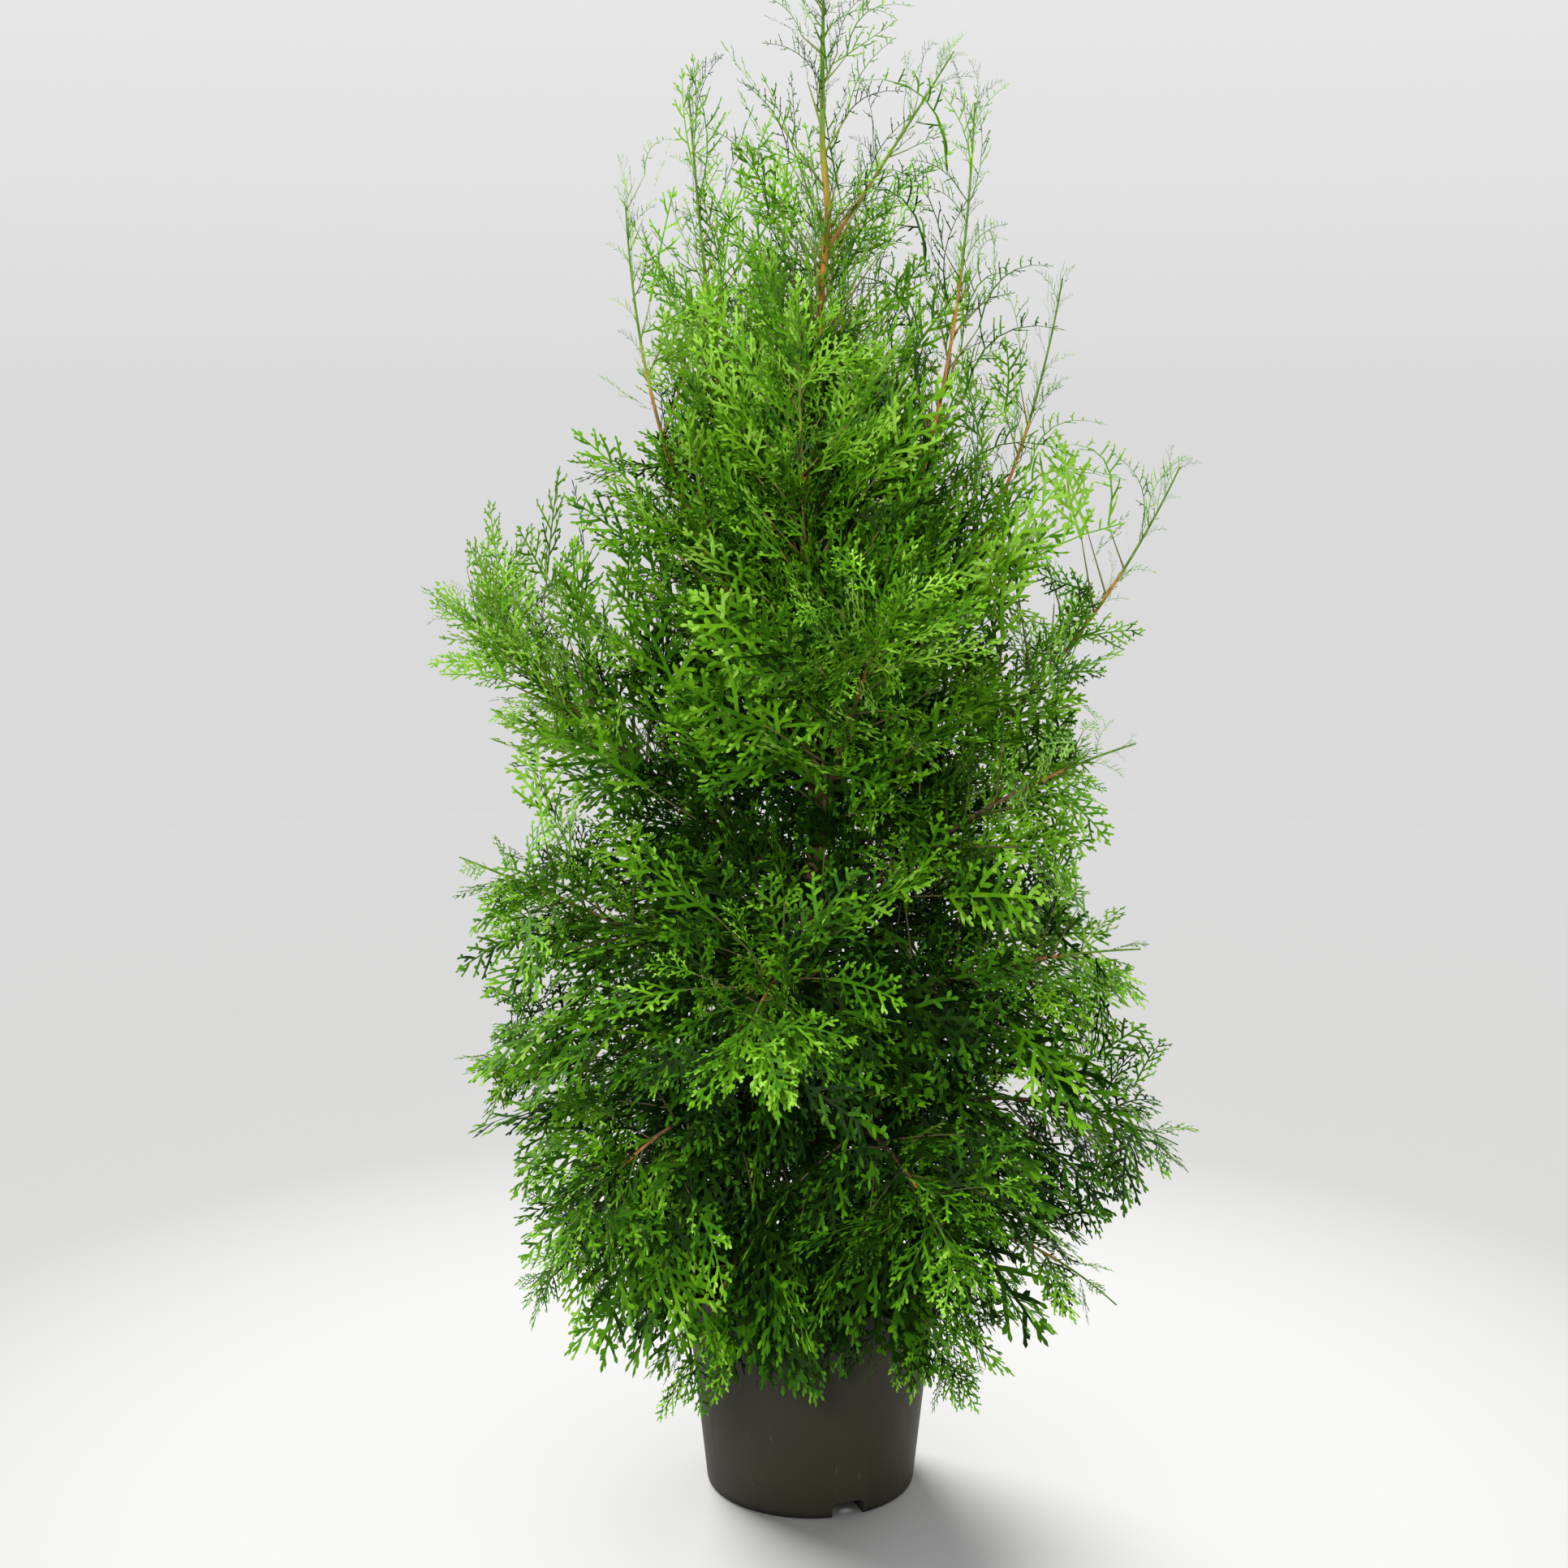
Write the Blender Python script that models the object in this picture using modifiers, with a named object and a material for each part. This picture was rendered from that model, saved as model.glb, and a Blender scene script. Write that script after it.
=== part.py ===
"""Potted thuja: a columnar evergreen in a round nursery pot, as separate named solids.

Metres, +Z up. The origin is the middle of the pot's underside; +X is the plant's right and -Y its front.
The trunk stands whole on the compost. Each bough leaves it and ends where its mass of foliage begins.
A mass is one solid: a stem that runs on from the bough, twigs off the stem, and toothed sprays off both.
"""

import math
import random

import bmesh
import bpy
from mathutils import Matrix, Vector
from mathutils.bvhtree import BVHTree
from mathutils.kdtree import KDTree

GAP = 0.0003  # left between solids that touch
WELD = 0.00005
SMOOTH_BELOW = math.radians(40)

# Pot
POT_HEIGHT = 0.260
POT_BASE_RADIUS = 0.127
POT_WALL_SLOPE = 0.1055  # outward run of the wall for each metre of height
POT_WALL = 0.0025
POT_FLOOR = 0.003
POT_CHAMFER = 0.0025
BAND_FOOT = 0.222  # height where the thicker band under the rim starts
BAND_STEP = 0.004
BAND_SHOULDER = 0.002
LIP_REACH = 0.003
LIP_DEPTH = 0.008
POT_SIDES = 32

# Drain channels, arched up from the pot's underside, with a hole in the roof of each
CHANNEL_RADIUS = 0.0185
CHANNEL_INNER_END = 0.075
CHANNEL_OVERRUN = 0.020
CHANNEL_AZIMUTHS = (290.4, 50.4, 170.4)
CHANNEL_SIDES = 16
DRAIN_HOLE_RADIUS = 0.005
DRAIN_HOLE_SETBACK = 0.020
DRAIN_HOLE_HEIGHT = 0.020
DRAIN_HOLE_SIDES = 10

# Compost
COMPOST_TOP = 0.236
COMPOST_EDGE_TOP = 0.230
COMPOST_FLAT_RADIUS = 0.045
COMPOST_SLOPE_END = 0.020

# Trunk: the height of each station, its lean to the right and to the back, and its radius
TRUNK_FOOT = COMPOST_TOP + GAP
TRUNK_STATIONS = (
    (TRUNK_FOOT, 0.0, 0.0, 0.0230),
    (TRUNK_FOOT + 0.012, 0.0, 0.0, 0.0175),
    (TRUNK_FOOT + 0.045, 0.0, 0.0, 0.0145),
    (0.420, 0.002, 0.002, 0.0130),
    (0.700, 0.004, 0.005, 0.0112),
    (1.000, 0.007, 0.003, 0.0090),
    (1.260, 0.009, 0.000, 0.0068),
    (1.440, 0.010, -0.002, 0.0050),
    (1.527, 0.018, -0.002, 0.0042),
    (1.600, 0.011, 0.000, 0.0034),
)
TRUNK_SIDES = 8

# Boughs and the stems that carry on from them
LIMB_TAPER = 0.8
BOUGH_SIDES = 6
BOUGH_SAMPLES = 4
STEM_SIDES = 4
STEM_SAMPLES = 5
STEM_SWELL = 1.15  # a mass's stem is this much thicker than the bough would be there
STEM_LEAD = 0.020
TIP_RADIUS = 0.0024
TIP_SPRAY_SHARE = 0.78  # how much of the end spray's length lies past the stem
GUARD_SAMPLES = 30

# Twigs
TWIG_SIDES = 3
TWIG_RADIUS = 0.0030
TWIG_TIP_RADIUS = 0.0023
TWIG_SPREAD = math.radians(48)
TWIG_PLACES = (0.20, 0.96)
TWIG_SAG = 0.25
GOLDEN_ANGLE = math.radians(137.5)

# Sprays: each tooth as its place along the spray, its reach to the side, and the valley that follows it
LEFT_TEETH = ((0.44, 0.41, 0.38, 0.110), (0.76, 0.28, 0.67, 0.075))
RIGHT_TEETH = ((0.58, 0.38, 0.51, 0.100), (0.88, 0.19, 0.81, 0.050))
STALK_PLACE = 0.045
STALK_HALF_WIDTH = 0.016
KEEL_PLACES = (0.06, 0.52)
KEEL_DEPTH_SHARE = 0.017
KEEL_LEAST_DEPTH = 0.0024
SPRAY_SPREAD = math.radians(55)
SPRAY_PLACES = (0.06, 0.96)
SPRAY_TWIST = 0.3
END_SPRAY_SUNK = 0.0035
SIDE_SPRAY_SPREAD = math.radians(50)
SIDE_SPRAY_SIZE = 0.8
SIDE_SPRAY_PLACES = ((1, 0.50), (-1, 0.74))

# What is tried, in turn, until a spray or a twig fits
SPRAY_SIZES = (1.0, 0.86, 0.72, 0.58)
TURNS_TRIED = 6
FACES_TRIED = 3
WIDEST_FACE_TURN = 1.4
SPACE_MARGIN = 0.0016
LIMB_CLEARANCE = 0.0020
SEED = 10

# The crown's outline: the furthest that foliage reaches from the middle at each height
CROWN_PROFILE = (
    (0.150, 0.350),
    (0.250, 0.400),
    (0.380, 0.487),
    (0.540, 0.450),
    (0.660, 0.420),
    (0.800, 0.438),
    (0.900, 0.400),
    (1.000, 0.430),
    (1.130, 0.456),
    (1.270, 0.454),
    (1.340, 0.330),
    (1.500, 0.325),
    (1.600, 0.235),
    (1.710, 0.200),
    (1.760, 0.100),
    (1.8035, 0.035),
)


class Limb:
    """A bough with the mass it carries. Azimuth 0 is +X and 270 is the front.

    It leaves the trunk at one height and its tip ends at another. Its line bends over a point that lies
    belly of the way out and rise above where it leaves. bough_share is the part of it that is bare bough.
    """

    def __init__(self, name, azimuth, leaves_at, reach, tip_height, belly=0.5, rise=0.10, bough_share=0.20,
                 radius=0.0065, twigs=3, stem_sprays=4, twig_length=0.100, spray_length=0.190, droop=0.3):
        self.name = name
        self.azimuth = math.radians(azimuth)
        self.leaves_at = leaves_at
        self.reach = reach
        self.tip_height = tip_height
        self.belly = belly
        self.rise = rise
        self.bough_share = bough_share
        self.radius = radius
        self.twigs = twigs
        self.stem_sprays = stem_sprays
        self.twig_length = twig_length
        self.spray_length = spray_length
        self.droop = droop
        self.stem_end = self.share_before_tip(TIP_SPRAY_SHARE * spray_length)

    def at(self, share):
        """The point on the limb's middle line this share of the way to its tip."""
        start = trunk_point(self.leaves_at)
        out = Vector((math.cos(self.azimuth), math.sin(self.azimuth), 0))
        tip = Vector((start.x, start.y, self.tip_height)) + out * self.reach
        bend = start + out * self.reach * self.belly + Vector((0, 0, self.rise))
        return start.lerp(bend, share).lerp(bend.lerp(tip, share), share)

    def share_before_tip(self, distance):
        step, share, run = 0.002, 1.0, 0.0
        while run < distance and share > step:
            run += (self.at(share) - self.at(share - step)).length
            share -= step
        return share

    def radius_at(self, share):
        return self.radius + (TIP_RADIUS - self.radius) * (share / self.stem_end) ** LIMB_TAPER

    def stations(self, first, last, count):
        """Evenly spread shares of the limb, with the point and the radius at each."""
        shares = [first + (last - first) * i / (count - 1) for i in range(count)]
        return shares, [self.at(share) for share in shares], [self.radius_at(share) for share in shares]


def trunk_point(height):
    """The trunk's middle at a height."""
    for below, above in zip(TRUNK_STATIONS, TRUNK_STATIONS[1:]):
        if height <= above[0]:
            share = (height - below[0]) / (above[0] - below[0])
            start = Vector((below[1], below[2], below[0]))
            return start.lerp(Vector((above[1], above[2], above[0])), share)
    return Vector((above[1], above[2], above[0]))


# The skirt hangs round the pot, each tier above it reaches out and up, and the leaders are nearly upright.
SKIRT = dict(belly=0.55, rise=0.075, bough_share=0.22, radius=0.0055, stem_sprays=3, twig_length=0.080,
             spray_length=0.165, droop=0.45)
LOW = dict(belly=0.50, rise=0.100, bough_share=0.20, radius=0.0065, droop=0.38)
MIDDLE = dict(belly=0.50, rise=0.120, bough_share=0.20, radius=0.0070, droop=0.28)
SHOULDER = dict(belly=0.55, rise=0.190, bough_share=0.20, radius=0.0075, twig_length=0.095,
                spray_length=0.180, droop=0.15)
LEADER = dict(belly=0.95, rise=0.150, bough_share=0.22, radius=0.0065, twigs=2, stem_sprays=7,
              twig_length=0.070, spray_length=0.150, droop=0.0)
TALL_LEADER = {**LEADER, "belly": 0.80, "rise": 0.30, "radius": 0.0080}
SHOOT = dict(twigs=2, twig_length=0.035, spray_length=0.095, droop=0.0)

LIMBS = (
    Limb("skirt_right", 352, 0.315, 0.385, 0.225, **SKIRT),
    Limb("skirt_back_right", 62, 0.330, 0.350, 0.235, **SKIRT),
    Limb("skirt_back_left", 124, 0.310, 0.350, 0.220, **SKIRT),
    Limb("skirt_left", 186, 0.325, 0.352, 0.245, **SKIRT),
    Limb("skirt_front_left", 243, 0.345, 0.330, 0.205, **SKIRT),
    Limb("skirt_front_right", 300, 0.335, 0.330, 0.195, **SKIRT),
    Limb("low_right", 8, 0.430, 0.478, 0.390, **LOW),
    Limb("low_back", 84, 0.450, 0.420, 0.440, **LOW),
    Limb("low_left", 164, 0.415, 0.445, 0.490, **LOW),
    Limb("low_front_left", 226, 0.470, 0.410, 0.400, **LOW),
    Limb("low_front_right", 292, 0.445, 0.420, 0.390, **LOW),
    Limb("middle_right", 338, 0.560, 0.415, 0.700, **MIDDLE),
    Limb("middle_back_right", 52, 0.590, 0.400, 0.730, **MIDDLE),
    Limb("middle_back_left", 122, 0.555, 0.400, 0.690, **MIDDLE),
    Limb("middle_left", 188, 0.580, 0.436, 0.795, **MIDDLE),
    Limb("middle_front", 258, 0.605, 0.390, 0.640, **MIDDLE),
    Limb("shoulder_right", 4, 0.760, 0.440, 1.262, **{**SHOULDER, "belly": 0.70}),
    Limb("shoulder_right_low", 336, 0.690, 0.405, 0.940, **SHOULDER),
    Limb("shoulder_back", 86, 0.740, 0.350, 1.050, **SHOULDER),
    Limb("shoulder_left", 176, 0.720, 0.446, 1.090, **SHOULDER),
    Limb("shoulder_front", 282, 0.790, 0.320, 1.080, **SHOULDER),
    Limb("leader_left", 174, 0.880, 0.150, 1.700, **TALL_LEADER),
    Limb("leader_far_left", 190, 0.960, 0.222, 1.560, **{**LEADER, "rise": 0.20}),
    Limb("leader_right", 352, 0.985, 0.178, 1.684, **{**LEADER, "rise": 0.20}),
    Limb("leader_far_right", 18, 0.920, 0.312, 1.490, **{**LEADER, "belly": 0.80}),
    Limb("leader_front", 262, 1.020, 0.170, 1.400, **{**LEADER, "radius": 0.0060}),
    Limb("leader_back", 88, 1.060, 0.170, 1.480, **{**LEADER, "radius": 0.0060}),
    Limb("top_shoot", 8, 1.480, 0.155, 1.716, belly=0.45, bough_share=0.30, radius=0.0035, stem_sprays=3,
         **SHOOT),
    Limb("top", 0, 1.600, 0.002, 1.803, bough_share=0.0, radius=0.0030, stem_sprays=5, **SHOOT),
)


# Scene and mesh helpers


def clear_scene():
    for obj in list(bpy.data.objects):
        bpy.data.objects.remove(obj)


def new_material(name, colour, roughness):
    material = bpy.data.materials.new(name)
    material.use_nodes = True
    shader = material.node_tree.nodes["Principled BSDF"]
    shader.inputs["Base Color"].default_value = (*colour, 1.0)
    shader.inputs["Roughness"].default_value = roughness
    shader.inputs["Metallic"].default_value = 0.0
    return material


def new_collection(name, hidden=False):
    collection = bpy.data.collections.new(name)
    bpy.context.scene.collection.children.link(collection)
    collection.hide_render = hidden
    return collection


def add_object(name, mesh, collection):
    obj = bpy.data.objects.new(name, mesh)
    collection.objects.link(obj)
    if collection.hide_render:
        obj.hide_render = True
        obj.display_type = "WIRE"
    return obj


def mesh_of(bm, name):
    mesh = bpy.data.meshes.new(name)
    bm.to_mesh(mesh)
    bm.free()
    return mesh


def surface_tree(mesh):
    bm = bmesh.new()
    bm.from_mesh(mesh)
    tree = BVHTree.FromBMesh(bm)
    bm.free()
    return tree


def evaluated_mesh(obj):
    return bpy.data.meshes.new_from_object(obj.evaluated_get(bpy.context.evaluated_depsgraph_get()))


def boolean(obj, other, operation, solver="EXACT"):
    modifier = obj.modifiers.new(operation.lower(), "BOOLEAN")
    modifier.operation = operation
    modifier.solver = solver
    if isinstance(other, bpy.types.Collection):
        modifier.operand_type = "COLLECTION"
        modifier.collection = other
    else:
        modifier.object = other


def finished(obj, collection, material, smooth=True):
    """The object with its modifiers applied, as one body in one material."""
    name, mesh = obj.name, evaluated_mesh(obj)
    bpy.data.objects.remove(obj)
    keep_largest(mesh)
    mesh.materials.clear()
    mesh.materials.append(material)
    if smooth:
        mesh.shade_smooth()
        mesh.set_sharp_from_angle(angle=SMOOTH_BELOW)
    return add_object(name, mesh, collection)


def keep_largest(mesh):
    """Drops loose scraps and sealed hollows: every body of the mesh but its largest."""
    bm = bmesh.new()
    bm.from_mesh(mesh)
    unseen, bodies = set(bm.verts), []
    while unseen:
        body, fringe = set(), [unseen.pop()]
        while fringe:
            vert = fringe.pop()
            body.add(vert)
            for edge in vert.link_edges:
                other = edge.other_vert(vert)
                if other in unseen:
                    unseen.discard(other)
                    fringe.append(other)
        bodies.append(body)
    bodies.sort(key=len)
    bmesh.ops.delete(bm, geom=[vert for body in bodies[:-1] for vert in body], context="VERTS")
    bm.to_mesh(mesh)
    bm.free()


def turned(name, profile, collection):
    """A solid turned round Z from a profile that runs from the axis, up its inside and down its outside."""
    bm = bmesh.new()
    points = [bm.verts.new((radius, 0, height)) for radius, height in profile]
    for one, next_one in zip(points, points[1:]):
        bm.edges.new((one, next_one))
    obj = add_object(name, mesh_of(bm, name), collection)
    screw = obj.modifiers.new("turn", "SCREW")
    screw.steps = screw.render_steps = POT_SIDES
    screw.use_merge_vertices = True
    screw.merge_threshold = WELD
    return obj


def tapered_tube(name, points, radii, sides, collection):
    """A closed tube along the points, from a curve whose points carry its radii."""
    curve = bpy.data.curves.new(name, "CURVE")
    curve.dimensions = "3D"
    curve.use_fill_caps = True
    curve.bevel_depth = 1.0
    curve.bevel_resolution = (sides - 4) // 2
    spline = curve.splines.new("POLY")
    spline.points.add(len(points) - 1)
    for station, point, radius in zip(spline.points, points, radii):
        station.co = (*point, 1)
        station.radius = radius
    helper = bpy.data.objects.new(name + "_curve", curve)
    collection.objects.link(helper)
    mesh = evaluated_mesh(helper)
    bpy.data.objects.remove(helper)
    bm = bmesh.new()
    bm.from_mesh(mesh)
    bmesh.ops.remove_doubles(bm, verts=bm.verts, dist=WELD)
    bmesh.ops.recalc_face_normals(bm, faces=bm.faces)
    bm.to_mesh(mesh)
    bm.free()
    return add_object(name, mesh, collection)


# Pot and compost


def wall_radius(height):
    return POT_BASE_RADIUS + POT_WALL_SLOPE * height


def channel(name, azimuth, grown, floor, collection):
    """A round bar along a spoke of the pot, grown all round and cut off level at floor if that is given."""
    start, end = CHANNEL_INNER_END - grown, POT_BASE_RADIUS + CHANNEL_OVERRUN
    radius = CHANNEL_RADIUS + grown
    bm = bmesh.new()
    bmesh.ops.create_cone(bm, cap_ends=True, segments=CHANNEL_SIDES, radius1=radius, radius2=radius,
                          depth=end - start)
    bmesh.ops.rotate(bm, verts=bm.verts, matrix=Matrix.Rotation(math.pi / 2, 3, "Y"))
    bmesh.ops.translate(bm, verts=bm.verts, vec=((start + end) / 2, 0, 0))
    if floor is not None:
        everything = bm.verts[:] + bm.edges[:] + bm.faces[:]
        cut = bmesh.ops.bisect_plane(bm, geom=everything, plane_co=(0, 0, floor), plane_no=(0, 0, -1),
                                     clear_outer=True)
        edges = [item for item in cut["geom_cut"] if isinstance(item, bmesh.types.BMEdge)]
        bmesh.ops.contextual_create(bm, geom=edges)
    bmesh.ops.rotate(bm, verts=bm.verts, matrix=Matrix.Rotation(math.radians(azimuth), 3, "Z"))
    bmesh.ops.recalc_face_normals(bm, faces=bm.faces)
    return add_object(name, mesh_of(bm, name), collection)


def drain_hole(azimuth, collection):
    middle = Vector((CHANNEL_INNER_END + DRAIN_HOLE_SETBACK, 0, DRAIN_HOLE_HEIGHT))
    middle.rotate(Matrix.Rotation(math.radians(azimuth), 3, "Z"))
    bm = bmesh.new()
    bmesh.ops.create_cone(bm, cap_ends=True, segments=DRAIN_HOLE_SIDES, radius1=DRAIN_HOLE_RADIUS,
                          radius2=DRAIN_HOLE_RADIUS, depth=DRAIN_HOLE_HEIGHT,
                          matrix=Matrix.Translation(middle))
    add_object("drain_hole_cutter", mesh_of(bm, "drain_hole_cutter"), collection)


def build_pot(parts, cutters, material):
    """A thin turned shell with three drain channels arched up from its underside."""
    band_radius = wall_radius(BAND_FOOT) + BAND_STEP
    lip_radius = band_radius + LIP_REACH
    shoulder = BAND_FOOT - BAND_SHOULDER
    pot = turned("pot", (
        (0, POT_FLOOR),
        (wall_radius(POT_FLOOR) - POT_WALL, POT_FLOOR),
        (wall_radius(POT_HEIGHT) - POT_WALL, POT_HEIGHT),
        (lip_radius, POT_HEIGHT),
        (lip_radius, POT_HEIGHT - LIP_DEPTH),
        (band_radius, POT_HEIGHT - LIP_DEPTH),
        (band_radius, BAND_FOOT),
        (wall_radius(shoulder), shoulder),
        (wall_radius(POT_CHAMFER), POT_CHAMFER),
        (POT_BASE_RADIUS - POT_CHAMFER, 0),
        (0, 0),
    ), parts)
    top = 2 * (CHANNEL_RADIUS + POT_WALL)
    within_wall = turned("channel_limit", (
        (0, top),
        (wall_radius(top) - POT_WALL / 2, top),
        (POT_BASE_RADIUS - POT_WALL / 2, 0),
        (0, 0),
    ), cutters)
    shells = new_collection("channel_shells", hidden=True)
    hollows = new_collection("channel_hollows", hidden=True)
    for azimuth in CHANNEL_AZIMUTHS:
        shell = channel("channel_shell", azimuth, POT_WALL, POT_FLOOR / 2, shells)
        boolean(shell, within_wall, "INTERSECT")
        channel("channel_hollow", azimuth, 0.0, None, hollows)
        drain_hole(azimuth, hollows)
    boolean(pot, shells, "UNION")
    boolean(pot, hollows, "DIFFERENCE")
    return finished(pot, parts, material)


def build_compost(parts, material):
    """The root ball in its compost, a little below the rim, and level round the trunk's foot."""
    def inside(height):
        return wall_radius(height) - POT_WALL - GAP * 1.5

    floor = POT_FLOOR + GAP
    compost = turned("compost", (
        (0, COMPOST_TOP),
        (COMPOST_FLAT_RADIUS, COMPOST_TOP),
        (inside(COMPOST_EDGE_TOP) - COMPOST_SLOPE_END, COMPOST_EDGE_TOP),
        (inside(COMPOST_EDGE_TOP), COMPOST_EDGE_TOP),
        (inside(floor), floor),
        (0, floor),
    ), parts)
    moulds = new_collection("channel_moulds", hidden=True)
    for azimuth in CHANNEL_AZIMUTHS:
        channel("channel_mould", azimuth, POT_WALL + GAP, None, moulds)
    boolean(compost, moulds, "DIFFERENCE")
    return finished(compost, parts, material)


# Trunk and boughs


def trunk_tube(name, grown, collection):
    points = [Vector((right, back, height)) for height, right, back, _ in TRUNK_STATIONS]
    radii = [radius + grown for *_, radius in TRUNK_STATIONS]
    return tapered_tube(name, points, radii, TRUNK_SIDES, collection)


def bough_tube(name, limb, grown, collection):
    _, points, radii = limb.stations(0.0, limb.bough_share, BOUGH_SAMPLES)
    return tapered_tube(name, points, [radius + grown for radius in radii], BOUGH_SIDES, collection)


def build_bough(limb, trunk_cutter, parts, material):
    """One tapering limb that starts against the trunk and ends where its mass begins."""
    bough = bough_tube("bough_" + limb.name, limb, 0.0, parts)
    boolean(bough, trunk_cutter, "DIFFERENCE")
    return finished(bough, parts, material)


# Shapes of foliage


def perpendicular(direction, turn):
    """A unit vector square to direction, turned round it from the most upright one."""
    side = direction.cross(Vector((0, 0, 1)))
    if side.length < 0.05:
        side = direction.cross(Vector((1, 0, 0)))
    side.normalize()
    return side.cross(direction).normalized() * math.cos(turn) + side * math.sin(turn)


def aimed(root, along, face):
    """The matrix that turns +X to along and +Z nearly to face, at root."""
    along = along.normalized()
    across = face.cross(along).normalized()
    axes = Matrix((along, across, along.cross(across))).transposed()
    return Matrix.Translation(root) @ axes.to_4x4()


def spray_shape(length, droop, twist):
    """A blade along +X with two teeth a side and a keel below, which stays clear of the blade as it droops."""
    keel = max(KEEL_LEAST_DEPTH, KEEL_DEPTH_SHARE * length)

    def bent(along, across, down=0.0):
        point = Vector((0, across * length, -down))
        point.rotate(Matrix.Rotation(twist * along, 3, "X"))
        return point + Vector((along, 0, -droop * along * along)) * length

    bm = bmesh.new()
    root, tip = bm.verts.new(bent(0, 0)), bm.verts.new(bent(1, 0))
    low, high = [bm.verts.new(bent(place, 0, keel)) for place in KEEL_PLACES]
    sides = []
    for side, teeth in ((1, LEFT_TEETH), (-1, RIGHT_TEETH)):
        edge = [bm.verts.new(bent(STALK_PLACE, side * STALK_HALF_WIDTH))]
        for tooth_at, tooth_reach, valley_at, valley_reach in teeth:
            edge.append(bm.verts.new(bent(tooth_at, side * tooth_reach)))
            edge.append(bm.verts.new(bent(valley_at, side * valley_reach)))
        stalk, tooth, valley, next_tooth, last = edge
        under = ((root, stalk, low), (low, stalk, tooth), (low, tooth, valley), (low, valley, high),
                 (high, valley, next_tooth), (high, next_tooth, last), (high, last, tip))
        upper = ((stalk, valley, tooth), (valley, last, next_tooth))
        for loop in under + upper:
            bm.faces.new(loop if side > 0 else loop[::-1])
        sides.append((stalk, valley, last))
    (stalk, valley, last), (other_stalk, other_valley, other_last) = sides
    middle = ((root, other_stalk, stalk), (stalk, other_stalk, valley), (other_stalk, other_valley, valley),
              (valley, other_valley, last), (other_valley, other_last, last), (last, other_last, tip))
    for loop in middle:
        bm.faces.new(loop)
    return bm


def twig_shape(root, end):
    bm = bmesh.new()
    line = end - root
    bmesh.ops.create_cone(bm, cap_ends=True, segments=TWIG_SIDES, radius1=TWIG_RADIUS,
                          radius2=TWIG_TIP_RADIUS, depth=line.length)
    lay_down = Matrix.Rotation(math.pi / 2, 4, "Y")
    bm.transform(aimed((root + end) / 2, line, perpendicular(line, 0.0)) @ lay_down)
    return bm


# Where foliage may grow


def crown_radius(height):
    """How far the crown reaches at this height, or nothing above and below it."""
    for (low, low_radius), (high, high_radius) in zip(CROWN_PROFILE, CROWN_PROFILE[1:]):
        if low <= height <= high:
            return low_radius + (high_radius - low_radius) * (height - low) / (high - low)
    return 0.0


def point_tree(points):
    tree = KDTree(len(points))
    for i, point in enumerate(points):
        tree.insert(point, i)
    tree.balance()
    return tree


def surface_points(bm):
    """The corners of a shape with points along its edges and the middles of its faces."""
    points = [vert.co.copy() for vert in bm.verts]
    for edge in bm.edges:
        start, end = edge.verts
        points += [start.co.lerp(end.co, share) for share in (0.25, 0.5, 0.75)]
    return points + [face.calc_center_median() for face in bm.faces]


class Space:
    """The room of each mass: in the crown, nearer its own stem than any other, and clear of every limb."""

    def __init__(self, obstacles):
        self.obstacles = obstacles
        self.own, self.others = {}, {}
        lines = {limb.name: limb.stations(limb.bough_share, 1.0, GUARD_SAMPLES)[1] for limb in LIMBS}
        for name, line in lines.items():
            self.own[name] = point_tree(line)
            elsewhere = [point for other in lines if other != name for point in lines[other]]
            self.others[name] = point_tree(elsewhere)

    def has_room(self, name, bm):
        for point in surface_points(bm):
            if math.hypot(point.x, point.y) > crown_radius(point.z):
                return False
            own_distance = self.own[name].find(point)[2]
            other_distance = self.others[name].find(point)[2]
            if own_distance > other_distance - 2 * SPACE_MARGIN:
                return False
        shape = BVHTree.FromBMesh(bm)
        return not any(shape.overlap(tree) for tree in self.obstacles)


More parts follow.
